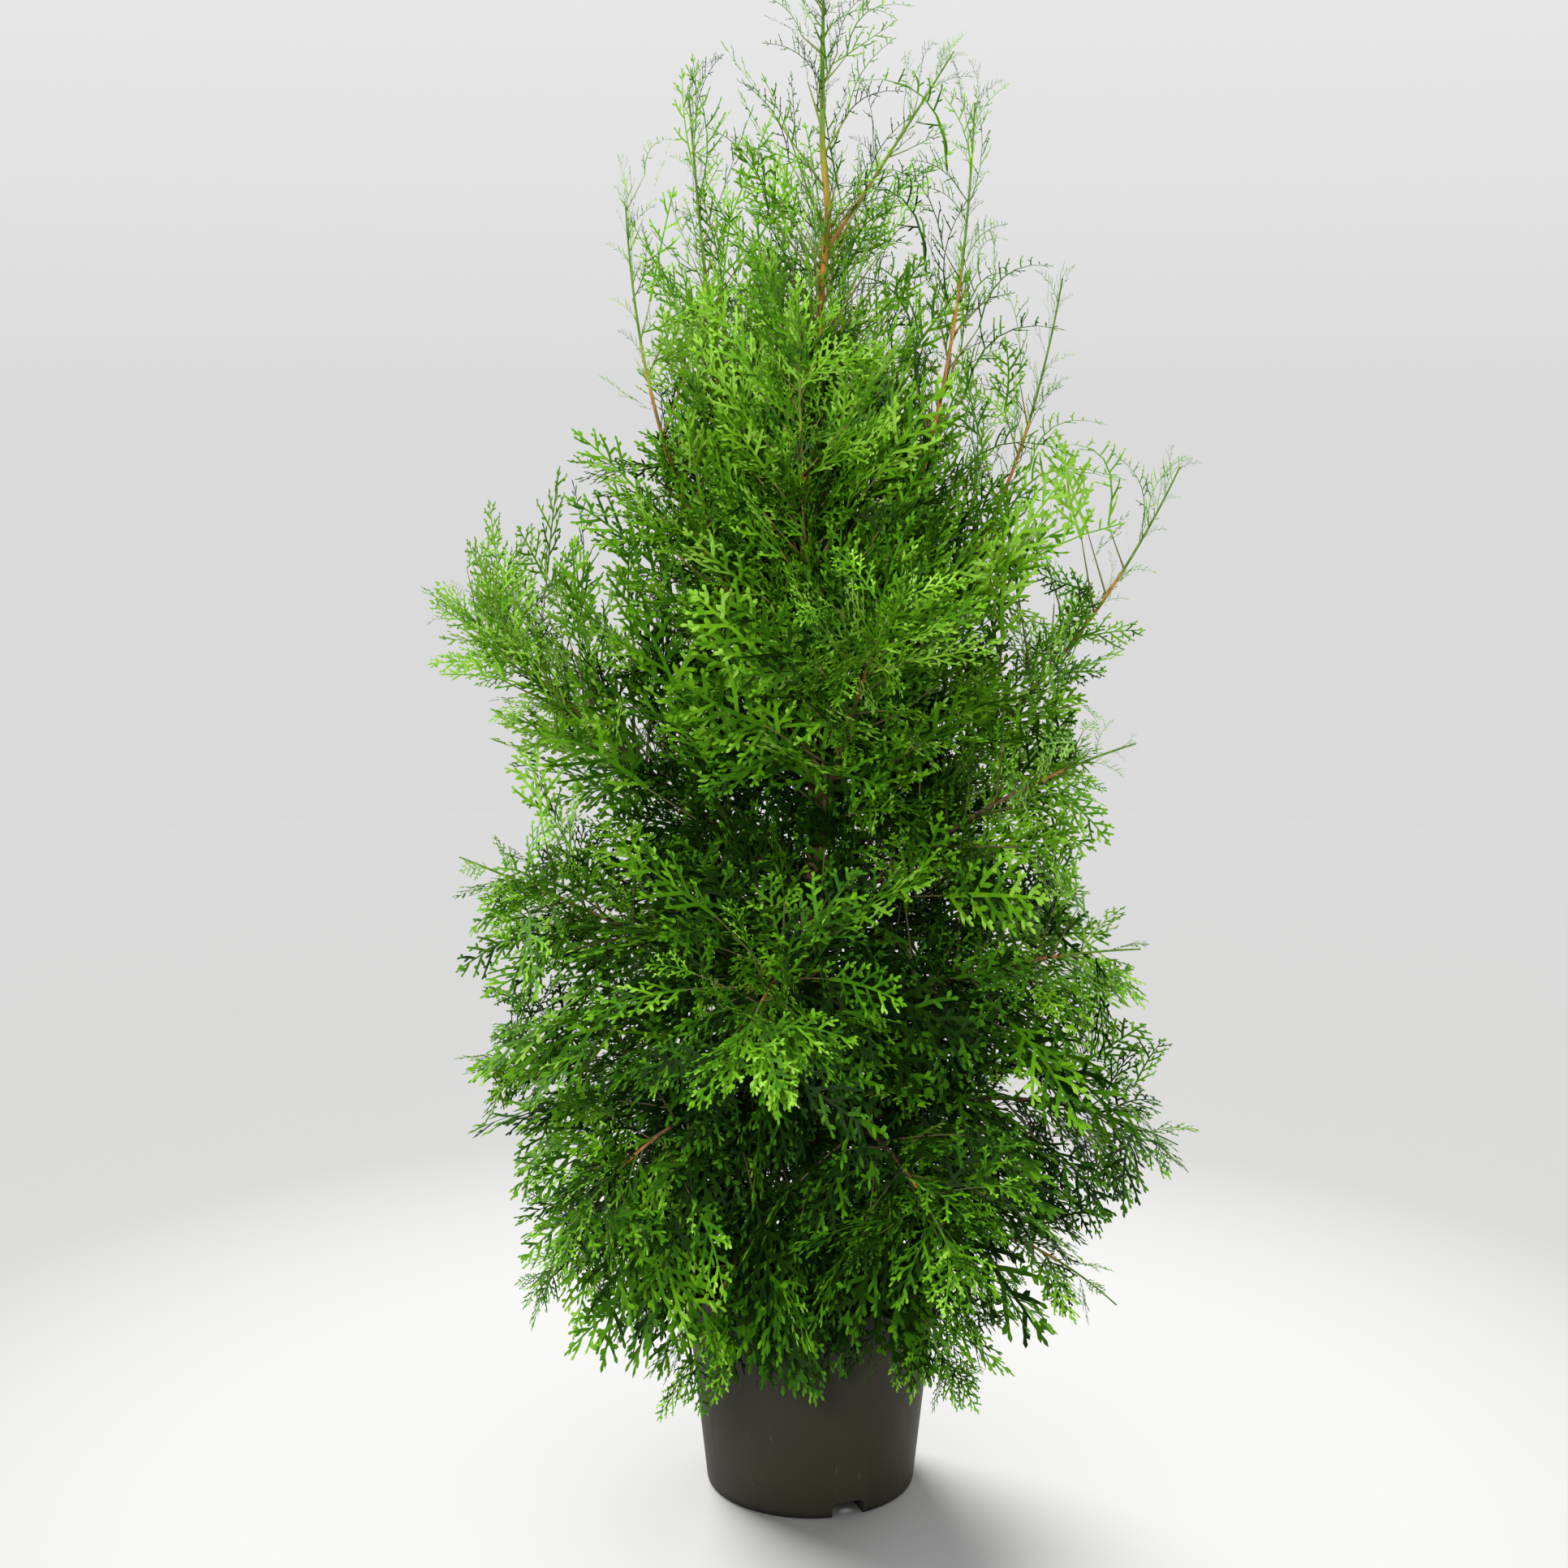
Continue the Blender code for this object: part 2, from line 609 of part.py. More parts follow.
class Mass:
    """One mass of foliage as it grows: a stem, twigs that leave it by turns, and sprays off both."""

    def __init__(self, limb, space, workshop, rng):
        self.limb = limb
        self.space = space
        self.workshop = workshop
        self.rng = rng
        self.pieces = []
        self.sprays = []
        self.shares, self.points, radii = limb.stations(limb.bough_share, limb.stem_end, STEM_SAMPLES)
        self.lead_on()
        radii = [radius * STEM_SWELL for radius in radii]
        self.pieces.append(tapered_tube(limb.name + "_stem", self.points, radii, STEM_SIDES, workshop))

    def lead_on(self):
        """Starts the stem in line with what carries it, a gap on, so that the two ends are parallel."""
        if self.limb.bough_share:
            carrier = self.limb.stations(0.0, self.limb.bough_share, BOUGH_SAMPLES)[1]
            onward = carrier[-1] - carrier[-2]
        else:
            onward = trunk_point(TRUNK_STATIONS[-1][0]) - trunk_point(TRUNK_STATIONS[-2][0])
        onward.normalize()
        self.points[0] = self.points[0] + onward * GAP
        self.points.insert(1, self.points[0] + onward * STEM_LEAD)
        length = (self.points[2] - self.points[0]).length
        self.shares.insert(1, self.shares[0] + (self.shares[1] - self.shares[0]) * STEM_LEAD / length)
        del self.points[-2], self.shares[-2]

    def on_stem(self, place):
        """The point this part of the way along the stem, and the stem's direction there."""
        share = self.shares[0] + (self.shares[-1] - self.shares[0]) * place
        for i in range(len(self.shares) - 1):
            if share <= self.shares[i + 1] or i == len(self.shares) - 2:
                start, end = self.points[i], self.points[i + 1]
                part = (share - self.shares[i]) / (self.shares[i + 1] - self.shares[i])
                return start.lerp(end, part), (end - start).normalized()

    def add(self, bm, kind):
        self.pieces.append(add_object(f"{self.limb.name}_{kind}", mesh_of(bm, kind), self.workshop))

    def place_spray(self, root, aims, length, droop):
        """Puts on the largest spray that stays in the mass's room and clear of the sprays already there."""
        twist = self.rng.uniform(-SPRAY_TWIST, SPRAY_TWIST)
        for size in SPRAY_SIZES:
            for along, face in aims:
                bm = spray_shape(length * size, droop, twist)
                bm.transform(aimed(root, along, face))
                surface = BVHTree.FromBMesh(bm)
                crossing = any(surface.overlap(other) for other in self.sprays)
                if not crossing and self.space.has_room(self.limb.name, bm):
                    self.sprays.append(surface)
                    self.add(bm, "spray")
                    return True
                bm.free()
        return False

    def face_turn(self):
        return self.rng.uniform(-WIDEST_FACE_TURN, WIDEST_FACE_TURN)

    def faces(self, along):
        """Directions for a spray along this line to face, spread evenly round it."""
        first = self.face_turn()
        return [perpendicular(along, first + i * math.pi / FACES_TRIED) for i in range(FACES_TRIED)]

    def side_lines(self, line, turn, spread):
        """Lines that lean away from the stem's own, each a step round it from the last."""
        sides = [perpendicular(line, turn + i * 2 * math.pi / TURNS_TRIED) for i in range(TURNS_TRIED)]
        return [(line * math.cos(spread) + side * math.sin(spread)).normalized() for side in sides]

    def grow_end(self):
        """The spray at the stem's end, which reaches the limb's tip."""
        line = (self.points[-1] - self.points[-2]).normalized()
        root = self.points[-1] - line * END_SPRAY_SUNK
        reach = self.limb.at(1.0) - root
        aims = [(reach, face) for face in self.faces(reach.normalized())]
        self.place_spray(root, aims, reach.length, 0.0)

    def grow_twig(self, place, turn):
        """A twig with a spray at its end and one on either side, or nothing if there is no room."""
        limb = self.limb
        root, stem_line = self.on_stem(place)
        sag = Vector((0, 0, -limb.droop * limb.twig_length * TWIG_SAG))
        for along in self.side_lines(stem_line, turn, TWIG_SPREAD):
            end = root + along * limb.twig_length + sag
            twig = twig_shape(root, end)
            if self.space.has_room(limb.name, twig):
                break
            twig.free()
        else:
            return
        line = (end - root).normalized()
        aims = [(line, face) for face in self.faces(line)]
        held = self.place_spray(end - line * END_SPRAY_SUNK, aims, limb.spray_length, limb.droop)
        for side, side_place in SIDE_SPRAY_PLACES:
            aims = []
            for face in self.faces(line):
                aims.append((Matrix.Rotation(side * SIDE_SPRAY_SPREAD, 3, face) @ line, face))
            length = limb.spray_length * SIDE_SPRAY_SIZE
            held |= self.place_spray(root.lerp(end, side_place), aims, length, limb.droop)
        if held:
            self.add(twig, "twig")
        else:
            twig.free()

    def grow_spray(self, place, turn):
        root, stem_line = self.on_stem(place)
        lines = self.side_lines(stem_line, turn, SPRAY_SPREAD)
        aims = [(along, perpendicular(along, self.face_turn())) for along in lines]
        self.place_spray(root, aims, self.limb.spray_length, self.limb.droop)

    def grow(self):
        """Grows the end spray, then twigs and sprays a golden turn apart along the stem."""
        self.grow_end()
        turn = self.rng.uniform(0, 2 * math.pi)
        for count, (first, last), grow_one in (
            (self.limb.twigs, TWIG_PLACES, self.grow_twig),
            (self.limb.stem_sprays, SPRAY_PLACES, self.grow_spray),
        ):
            for i in range(count):
                turn += GOLDEN_ANGLE
                grow_one(first + (last - first) * i / (count - 1), turn)

    def fused(self, parts, material):
        """The stem, twigs and sprays joined to one closed body."""
        name = "foliage_" + self.limb.name
        stem, *others = self.pieces
        stem.name = name
        joined = new_collection("pieces_of_" + name)
        for piece in others:
            joined.objects.link(piece)
        boolean(stem, joined, "UNION", solver="MANIFOLD")
        mass = finished(stem, parts, material, smooth=False)
        for piece in others:
            bpy.data.objects.remove(piece)
        bpy.data.collections.remove(joined)
        return mass


def main():
    clear_scene()
    parts = new_collection("potted_thuja")
    cutters = new_collection("cutters", hidden=True)
    workshop = new_collection("workshop")
    plastic = new_material("pot_plastic", (0.045, 0.036, 0.028), 0.55)
    soil = new_material("compost", (0.028, 0.018, 0.011), 0.95)
    bark = new_material("bark", (0.150, 0.075, 0.035), 0.85)
    needles = new_material("foliage", (0.060, 0.170, 0.020), 0.60)

    pot = build_pot(parts, cutters, plastic)
    build_compost(parts, soil)
    finished(trunk_tube("trunk", 0.0, parts), parts, bark)
    trunk_cutter = trunk_tube("trunk_cutter", GAP, cutters)
    guards = [pot, trunk_tube("trunk_guard", LIMB_CLEARANCE, cutters)]
    for limb in LIMBS:
        if limb.bough_share:
            build_bough(limb, trunk_cutter, parts, bark)
            guards.append(bough_tube("bough_guard", limb, LIMB_CLEARANCE, cutters))

    obstacles = [surface_tree(guard.data) for guard in guards]
    space = Space(obstacles)
    rng = random.Random(SEED)
    for limb in LIMBS:
        mass = Mass(limb, space, workshop, rng)
        mass.grow()
        obstacles += [surface_tree(piece.data) for piece in mass.pieces]
        solid = mass.fused(parts, needles)
        print(f"{solid.name}: {len(mass.sprays)} sprays")
    bpy.data.collections.remove(workshop)


main()
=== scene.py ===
import math
import random

import bmesh
import bpy
import numpy as np
from mathutils import Matrix, Vector, noise


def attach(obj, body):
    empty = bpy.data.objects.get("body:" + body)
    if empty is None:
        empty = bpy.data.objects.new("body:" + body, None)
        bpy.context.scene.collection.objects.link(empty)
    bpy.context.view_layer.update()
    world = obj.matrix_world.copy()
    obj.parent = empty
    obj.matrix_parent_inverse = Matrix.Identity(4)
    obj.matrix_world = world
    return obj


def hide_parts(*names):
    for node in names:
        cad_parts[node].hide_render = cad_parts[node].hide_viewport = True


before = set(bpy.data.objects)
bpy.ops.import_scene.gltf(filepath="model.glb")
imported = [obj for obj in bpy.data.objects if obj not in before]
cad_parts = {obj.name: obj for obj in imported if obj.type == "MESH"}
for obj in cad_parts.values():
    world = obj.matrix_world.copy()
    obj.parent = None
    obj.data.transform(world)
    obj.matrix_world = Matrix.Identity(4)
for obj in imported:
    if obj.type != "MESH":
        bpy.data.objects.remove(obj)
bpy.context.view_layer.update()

bpy.context.scene.view_settings.view_transform = "Standard"


# Camera

view = {"place": (-0.0325, -2.81, 1.31), "pitch": 81.0, "lens": 55.16, "sensor": 36.0}

cameraData = bpy.data.cameras.new("camera")
cameraData.lens = view["lens"]
cameraData.sensor_width = view["sensor"]
camera = bpy.data.objects.new("camera", cameraData)
camera.location = view["place"]
camera.rotation_euler = (math.radians(view["pitch"]), 0, 0)
bpy.context.scene.collection.objects.link(camera)
bpy.context.scene.camera = camera


# Helpers for numbers, meshes and finishes

def ramped(value, start, span):
    # 0 up to start, then rising to 1 over the span
    return min(1.0, max(0.0, (value - start) / span))


def grey(level):
    return (level,) * 3


def addPiece(name, mesh, *materials):
    piece = bpy.data.objects.new(name, mesh)
    bpy.context.scene.collection.objects.link(piece)
    for material in materials:
        mesh.materials.append(material)
    return piece


def meshFrom(bm, name):
    mesh = bpy.data.meshes.new(name)
    bm.to_mesh(mesh)
    bm.free()
    return mesh


class Nodes:
    # a short way to wire the nodes of a material or of the surround

    def __init__(self, owner, shader, coordinates="Object"):
        owner.use_nodes = True
        self.owner = owner
        self.tree = owner.node_tree
        self.shader = self.tree.nodes[shader]
        self.place = self.tree.nodes.new("ShaderNodeTexCoord").outputs[coordinates]

    def feed(self, socket, value):
        # links another node's output, or sets a colour or a number
        if isinstance(value, bpy.types.NodeSocket):
            self.tree.links.new(value, socket)
        elif socket.type == "RGBA":
            socket.default_value = (*value, 1)
        else:
            socket.default_value = value

    def add(self, kind, **values):
        # a name with a capital is a socket, and any other is the node's own setting
        node = self.tree.nodes.new("ShaderNode" + kind)
        for name, value in values.items():
            if name[0].isupper():
                self.feed(node.inputs[name.replace("_", " ")], value)
            else:
                setattr(node, name, value)
        return node

    def height(self):
        return self.add("SeparateXYZ", Vector=self.place).outputs["Z"]

    def noise(self, scale, detail=4.0, stretch=None, roughness=0.5):
        at = self.place
        if stretch:
            at = self.add("Mapping", Vector=at, Scale=stretch).outputs["Vector"]
        made = self.add("TexNoise", Vector=at, Scale=scale, Detail=detail, Roughness=roughness)
        return made.outputs["Fac"]

    def ramp(self, factor, stops):
        node = self.add("ValToRGB", Fac=factor)
        ramp = node.color_ramp
        while len(ramp.elements) < len(stops):
            ramp.elements.new(0.5)
        for element, (at, colour) in zip(ramp.elements, stops):
            element.position = at
            element.color = (*colour, 1)
        return node.outputs["Color"]

    def mask(self, value, start, end, most):
        # 0 up to start, then rising to most at end
        return self.ramp(value, ((start, grey(0)), (end, grey(most))))

    def mapped(self, value, start, end, low=0.0, high=1.0):
        # start becomes low, and end becomes high
        node = self.add("MapRange", Value=value, From_Min=start, From_Max=end, To_Min=low, To_Max=high)
        return node.outputs["Result"]

    def product(self, one, other):
        node = self.add("Math", operation="MULTIPLY")
        self.feed(node.inputs[0], one)
        self.feed(node.inputs[1], other)
        return node.outputs["Value"]

    def mix(self, factor, one, other, blend="MIX"):
        node = self.add("Mix", data_type="RGBA", blend_type=blend, Factor=factor)
        firstColour, secondColour, colourOut = node.inputs[6], node.inputs[7], node.outputs[2]
        self.feed(firstColour, one)
        self.feed(secondColour, other)
        return colourOut

    def colour(self, value):
        self.feed(self.shader.inputs["Base Color"], value)

    def bump(self, height, strength, distance):
        made = self.add("Bump", Height=height, Strength=strength, Distance=distance)
        self.feed(self.shader.inputs["Normal"], made.outputs["Normal"])


def finish(name, roughness, specular):
    nodes = Nodes(bpy.data.materials.new(name), "Principled BSDF")
    nodes.shader.inputs["Roughness"].default_value = roughness
    nodes.shader.inputs["Specular IOR Level"].default_value = specular
    return nodes


# Leaf, bark, pot and compost finishes

# lit and shaded copies of one leaf green, from painted shade in the middle of the crown to painted sunlight
# on its tips
leafTones = {
    "shadedInnerGreen": ((0.0025, 0.012, 0.0006), (0.007, 0.026, 0.001)),
    "shadedGreen": ((0.011, 0.050, 0.0015), (0.026, 0.085, 0.002)),
    "fullGreen": ((0.028, 0.105, 0.003), (0.055, 0.160, 0.004)),
    "litGreen": ((0.060, 0.185, 0.004), (0.110, 0.265, 0.008)),
    "sunlitTips": ((0.125, 0.290, 0.015), (0.215, 0.410, 0.050)),
}


def leafMaterial(name, deep, light):
    nodes = finish(name, 0.50, 0.04)
    patches = nodes.noise(38.0, 3.0)
    nodes.colour(nodes.ramp(patches, ((0.35, deep), (0.65, light))))
    nodes.bump(nodes.noise(420.0, 2.0), 0.35, 0.0006)
    return nodes.owner


def barkMaterial():
    nodes = finish("fibrousBark", 0.82, 0.3)
    age = nodes.add("Attribute", attribute_name="youth").outputs["Fac"]
    body = nodes.ramp(age, (
        (0.00, (0.070, 0.042, 0.024)),
        (0.35, (0.120, 0.062, 0.028)),
        (0.60, (0.260, 0.115, 0.026)),
        (0.80, (0.400, 0.190, 0.028)),
        (0.90, (0.085, 0.190, 0.010)),
    ))
    fibres = nodes.noise(60.0, 6.0, (3.0, 3.0, 0.35), 0.6)
    streaks = nodes.ramp(fibres, ((0.32, (0.38, 0.36, 0.34)), (0.62, grey(1.0))))
    flakes = nodes.noise(110.0, 4.0, (1.6, 1.6, 0.5))
    worn = nodes.mask(flakes, 0.58, 0.75, 0.18)
    toned = nodes.mix(1.0, body, streaks, "MULTIPLY")
    nodes.colour(nodes.mix(worn, toned, (0.34, 0.26, 0.19)))
    nodes.bump(fibres, 0.7, 0.0015)
    return nodes.owner


def twigMaterial():
    # brown low in the plant and green at its top
    nodes = finish("youngTwig", 0.7, 0.35)
    body = nodes.ramp(nodes.mapped(nodes.height(), 0.2, 1.8), (
        (0.00, (0.070, 0.062, 0.020)),
        (0.45, (0.090, 0.092, 0.022)),
        (0.72, (0.165, 0.150, 0.028)),
        (0.88, (0.150, 0.200, 0.028)),
    ))
    grain = nodes.noise(170.0, 4.0, (2.0, 2.0, 0.6))
    streaks = nodes.ramp(grain, ((0.3, (0.6, 0.6, 0.55)), (0.7, grey(1.0))))
    nodes.colour(nodes.mix(1.0, body, streaks, "MULTIPLY"))
    nodes.bump(grain, 0.4, 0.0008)
    return nodes.owner


def potMaterial():
    nodes = finish("potPlastic", 0.55, 0.28)
    height = nodes.height()
    cloud = nodes.noise(7.0, 5.0)
    rub = nodes.noise(30.0, 6.0, (3.0, 3.0, 0.5), 0.65)
    streaks = nodes.noise(55.0, 3.0, (4.0, 4.0, 0.22))
    colour = nodes.ramp(cloud, ((0.30, (0.0085, 0.0065, 0.0045)), (0.70, (0.0135, 0.0105, 0.0065))))
    # an olive cast, pale streaks, scuffs, darker mottling toward the bottom, and painted shade on the edge
    # of the foot
    for share, tint in (
        (nodes.noise(5.0, 2.0), (0.022, 0.0195, 0.0085)),
        (nodes.mask(streaks, 0.70, 0.76, 0.55), (0.085, 0.080, 0.066)),
        (nodes.mask(rub, 0.62, 0.80, 0.35), (0.040, 0.035, 0.026)),
        # darker mottling toward the bottom
        (nodes.product(nodes.mapped(height, 0.05, 0.0), cloud), (0.009, 0.007, 0.005)),
        # painted shade: near-black round the foot's edge
        (nodes.mapped(height, 0.009, 0.003, high=0.85), grey(0.002)),
    ):
        colour = nodes.mix(share, colour, tint)
    nodes.colour(colour)
    nodes.feed(nodes.shader.inputs["Roughness"], nodes.mapped(rub, 0.0, 1.0, 0.46, 0.66))
    nodes.bump(nodes.noise(900.0, 3.0), 0.25, 0.0004)
    return nodes.owner


def compostMaterial():
    nodes = finish("compost", 0.95, 0.2)
    crumbs = nodes.noise(140.0, 8.0, roughness=0.65)
    nodes.colour(nodes.ramp(crumbs, (
        (0.30, (0.008, 0.005, 0.003)),
        (0.52, (0.030, 0.019, 0.011)),
        (0.70, (0.070, 0.045, 0.026)),
    )))
    nodes.bump(crumbs, 0.9, 0.003)
    return nodes.owner


leafMaterials = [leafMaterial(name, *pair) for name, pair in leafTones.items()]
bark = barkMaterial()
twigBark = twigMaterial()
potPlastic = potMaterial()
compostSoil = compostMaterial()
print("materials made")


# Pot: a turned shell with three flat-topped drain channels across its underside

pot = {
    "height": 0.260, "baseRadius": 0.127, "slope": 0.1055, "wall": 0.0025, "floor": 0.003,
    "bandFoot": 0.222, "bandFall": 0.002, "bandStep": 0.004, "lipReach": 0.003, "lipDepth": 0.008,
    "baseRounding": 0.0045, "edgeRounding": 0.0009, "roundingSteps": 4, "steps": 160, "sharpAngle": 35,
    "channels": (290.4, 50.4, 170.4), "channelHeight": 0.0195, "channelWidth": 0.040,
    "channelCorner": 0.0075, "channelSteps": 8, "channelInnerEnd": 0.075, "channelOverrun": 0.02,
    "drainHoleRadius": 0.005, "drainHoleSetback": 0.020, "drainHoleDepth": 0.02,
}


def wallRadius(height):
    return pot["baseRadius"] + pot["slope"] * height


def rounded(corner, before, after, size):
    # the points of an arc that rounds off one corner of a profile
    corner, before, after = Vector(corner), Vector(before), Vector(after)
    toward, onward = (before - corner).normalized(), (after - corner).normalized()
    half = toward.angle(onward) / 2
    middle = corner + (toward + onward).normalized() * size / math.sin(half)
    start = corner + toward * size / math.tan(half) - middle
    end = corner + onward * size / math.tan(half) - middle
    steps = pot["roundingSteps"]
    return [middle + start.lerp(end, i / steps).normalized() * size for i in range(steps + 1)]


def spun(profile, roundings):
    # turns a profile round Z, with some of its corners rounded first
    line = []
    for i, corner in enumerate(profile):
        if i in roundings:
            line += rounded(corner, profile[i - 1], profile[i + 1], roundings[i])
        else:
            line.append(Vector(corner))
    bm = bmesh.new()
    points = [bm.verts.new((at.x, 0, at.y)) for at in line]
    edges = [bm.edges.new(pair) for pair in zip(points, points[1:])]
    bmesh.ops.spin(bm, geom=points + edges, cent=(0, 0, 0), axis=(0, 0, 1), angle=2 * math.pi,
                   steps=pot["steps"], use_merge=True)
    bmesh.ops.remove_doubles(bm, verts=bm.verts, dist=0.00001)
    bmesh.ops.recalc_face_normals(bm, faces=bm.faces)
    return bm


def channelBar(azimuth, grown=0.0, foot=None):
    # a flat-topped bar with rounded edges along a spoke of the pot, cut off level at its foot
    start, end = pot["channelInnerEnd"] - grown, pot["baseRadius"] + pot["channelOverrun"]
    wide, high = pot["channelWidth"] + 2 * grown, 2 * (pot["channelHeight"] + grown)
    bm = bmesh.new()
    bmesh.ops.create_cube(bm, size=1, matrix=Matrix.Diagonal((end - start, wide, high, 1)))
    along = [edge for edge in bm.edges if abs(edge.verts[0].co.x - edge.verts[1].co.x) > 0.01]
    bmesh.ops.bevel(bm, geom=along, offset=pot["channelCorner"] + grown, offset_type="OFFSET",
                    segments=pot["channelSteps"], profile=0.5, affect="EDGES")
    bmesh.ops.translate(bm, verts=bm.verts, vec=((start + end) / 2, 0, 0))
    if foot:
        cut = bmesh.ops.bisect_plane(bm, geom=bm.verts[:] + bm.edges[:] + bm.faces[:],
                                     plane_co=(0, 0, foot), plane_no=(0, 0, -1), clear_outer=True)
        rim = [item for item in cut["geom_cut"] if isinstance(item, bmesh.types.BMEdge)]
        bmesh.ops.contextual_create(bm, geom=rim)
    bmesh.ops.rotate(bm, verts=bm.verts, matrix=Matrix.Rotation(math.radians(azimuth), 3, "Z"))
    bmesh.ops.recalc_face_normals(bm, faces=bm.faces)
    return addPiece("channelBar", meshFrom(bm, "channelBar"))


def drainHole(azimuth):
    middle = Vector((pot["channelInnerEnd"] + pot["drainHoleSetback"], 0, pot["channelHeight"]))
    middle.rotate(Matrix.Rotation(math.radians(azimuth), 3, "Z"))
    bm = bmesh.new()
    bmesh.ops.create_cone(bm, cap_ends=True, segments=24, radius1=pot["drainHoleRadius"],
                          radius2=pot["drainHoleRadius"], depth=pot["drainHoleDepth"],
                          matrix=Matrix.Translation(middle))
    return addPiece("drainHole", meshFrom(bm, "drainHole"))


def applyBooleans(piece, others, operation):
    for other in others:
        modifier = piece.modifiers.new(operation, "BOOLEAN")
        modifier.operation = operation
        modifier.solver = "MANIFOLD"
        modifier.object = other
    made = bpy.data.meshes.new_from_object(piece.evaluated_get(bpy.context.evaluated_depsgraph_get()))
    piece.modifiers.clear()
    piece.data = made
    for other in others:
        bpy.data.objects.remove(other)


def makeShell():
    band = wallRadius(pot["bandFoot"]) + pot["bandStep"]
    lip = band + pot["lipReach"]
    top, wall, floor, edge = pot["height"], pot["wall"], pot["floor"], pot["edgeRounding"]
    shoulder = pot["bandFoot"] - pot["bandFall"]
    shell = spun((
        (0, floor),
        (wallRadius(floor) - wall, floor),
        (wallRadius(top) - wall, top),
        (lip, top),
        (lip, top - pot["lipDepth"]),
        (band, top - pot["lipDepth"]),
        (band, pot["bandFoot"]),
        (wallRadius(shoulder), shoulder),
        (pot["baseRadius"], 0),
        (0, 0),
    ), {2: edge, 3: edge, 4: edge, 6: edge, 8: pot["baseRounding"]})
    return addPiece("nurseryPot", meshFrom(shell, "nurseryPot"))


def channelRoof(azimuth):
    # the bar that a channel is cut from, kept within the pot's wall
    wall = pot["wall"]
    deep = 2 * (pot["channelHeight"] + wall)
    bar = channelBar(azimuth, wall, pot["floor"] / 2)
    inWall = ((0, deep), (wallRadius(deep) - wall / 2, deep), (pot["baseRadius"] - wall / 2, 0), (0, 0))
    applyBooleans(bar, [addPiece("inWall", meshFrom(spun(inWall, {}), "inWall"))], "INTERSECT")
    return bar


def makePot():
    piece = makeShell()
    channels = pot["channels"]
    applyBooleans(piece, [channelRoof(azimuth) for azimuth in channels], "UNION")
    cutters = [channelBar(azimuth) for azimuth in channels] + [drainHole(azimuth) for azimuth in channels]
    applyBooleans(piece, cutters, "DIFFERENCE")
    piece.data.materials.clear()
    piece.data.materials.append(potPlastic)
    piece.data.shade_smooth()
    piece.data.set_sharp_from_angle(angle=math.radians(pot["sharpAngle"]))
    return piece


nurseryPot = makePot()
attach(nurseryPot, "root")
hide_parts("pot")
print("pot made")


# Compost: a crumbly surface with clods on it

soil = {
    "top": 0.236, "edgeTop": 0.230, "flatShare": 0.3, "fallShare": 0.7, "fall": 1.5, "floor": 0.0235,
    "footAt": 0.005, "gap": 0.0005, "grid": 110, "lumpScale": 70, "lumpHeight": 0.0018, "seed": 3,
    "clods": 700, "clodSize": (0.0012, 0.0042), "clodMargin": 0.006, "clodSink": 0.2,
    "clodLength": (0.6, 1.8), "clodWidth": (0.5, 1.0), "clodDepth": (0.35, 0.8), "clodTilt": 0.5,
}


def soilHeight(spread):
    # flat in the middle, and lower toward the wall
    fallen = max(0.0, (spread - soil["flatShare"]) / soil["fallShare"]) ** soil["fall"]
    return soil["top"] + (soil["edgeTop"] - soil["top"]) * fallen


def makeCompost():
    inside = wallRadius(soil["edgeTop"]) - pot["wall"] - soil["gap"]
    bm = bmesh.new()
    bmesh.ops.create_grid(bm, x_segments=soil["grid"], y_segments=soil["grid"], size=inside)
    for vert in bm.verts:
        # the square grid is drawn in to a disc
        x, y = vert.co.x / inside, vert.co.y / inside
        vert.co.x = inside * x * math.sqrt(1 - y * y / 2)
        vert.co.y = inside * y * math.sqrt(1 - x * x / 2)
        spread = vert.co.length / inside
        rough = noise.fractal(vert.co * soil["lumpScale"], 0.8, 2.2, 4) * soil["lumpHeight"]
        vert.co.z = soilHeight(spread) + rough * (1 - max(0.0, spread - 0.9) * 10)
    rim = [edge for edge in bm.edges if edge.is_boundary]
    deep = wallRadius(soil["footAt"]) - pot["wall"] - soil["gap"]
    skirt = bmesh.ops.extrude_edge_only(bm, edges=rim)["geom"]
    for vert in [item for item in skirt if isinstance(item, bmesh.types.BMVert)]:
        vert.co.x *= deep / inside
        vert.co.y *= deep / inside
        vert.co.z = soil["floor"]
    bmesh.ops.contextual_create(bm, geom=[edge for edge in bm.edges if edge.is_boundary])
    bmesh.ops.recalc_face_normals(bm, faces=bm.faces)
    piece = addPiece("compostFill", meshFrom(bm, "compostFill"), compostSoil)
    piece.data.shade_smooth()
    return piece


def makeClods():
    rng = random.Random(soil["seed"])
    bm = bmesh.new()
    inside = wallRadius(soil["edgeTop"]) - pot["wall"] - soil["clodMargin"]
    for _ in range(soil["clods"]):
        out, turn = inside * math.sqrt(rng.random()), rng.uniform(0, 2 * math.pi)
        size = rng.uniform(*soil["clodSize"])
        lie = soilHeight(out / inside) + size * soil["clodSink"]
        at = Matrix.Translation((out * math.cos(turn), out * math.sin(turn), lie))
        sides = [rng.uniform(*soil[side]) for side in ("clodLength", "clodWidth", "clodDepth")]
        spin = Matrix.Rotation(rng.uniform(0, 6.28), 4, "Z")
        tilt = Matrix.Rotation(rng.uniform(-soil["clodTilt"], soil["clodTilt"]), 4, "X")
        shape = Matrix.Diagonal((*sides, 1))
        bmesh.ops.create_icosphere(bm, subdivisions=1, radius=size, matrix=at @ (spin @ tilt) @ shape)
    return addPiece("compostClods", meshFrom(bm, "compostClods"), compostSoil)


compostFill = makeCompost()
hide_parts("compost")
compostClods = makeClods()
for piece in (compostFill, compostClods):
    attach(piece, "root")
print("compost made")


# The plant's frame: trunk, boughs, and the line that each bough's mass follows

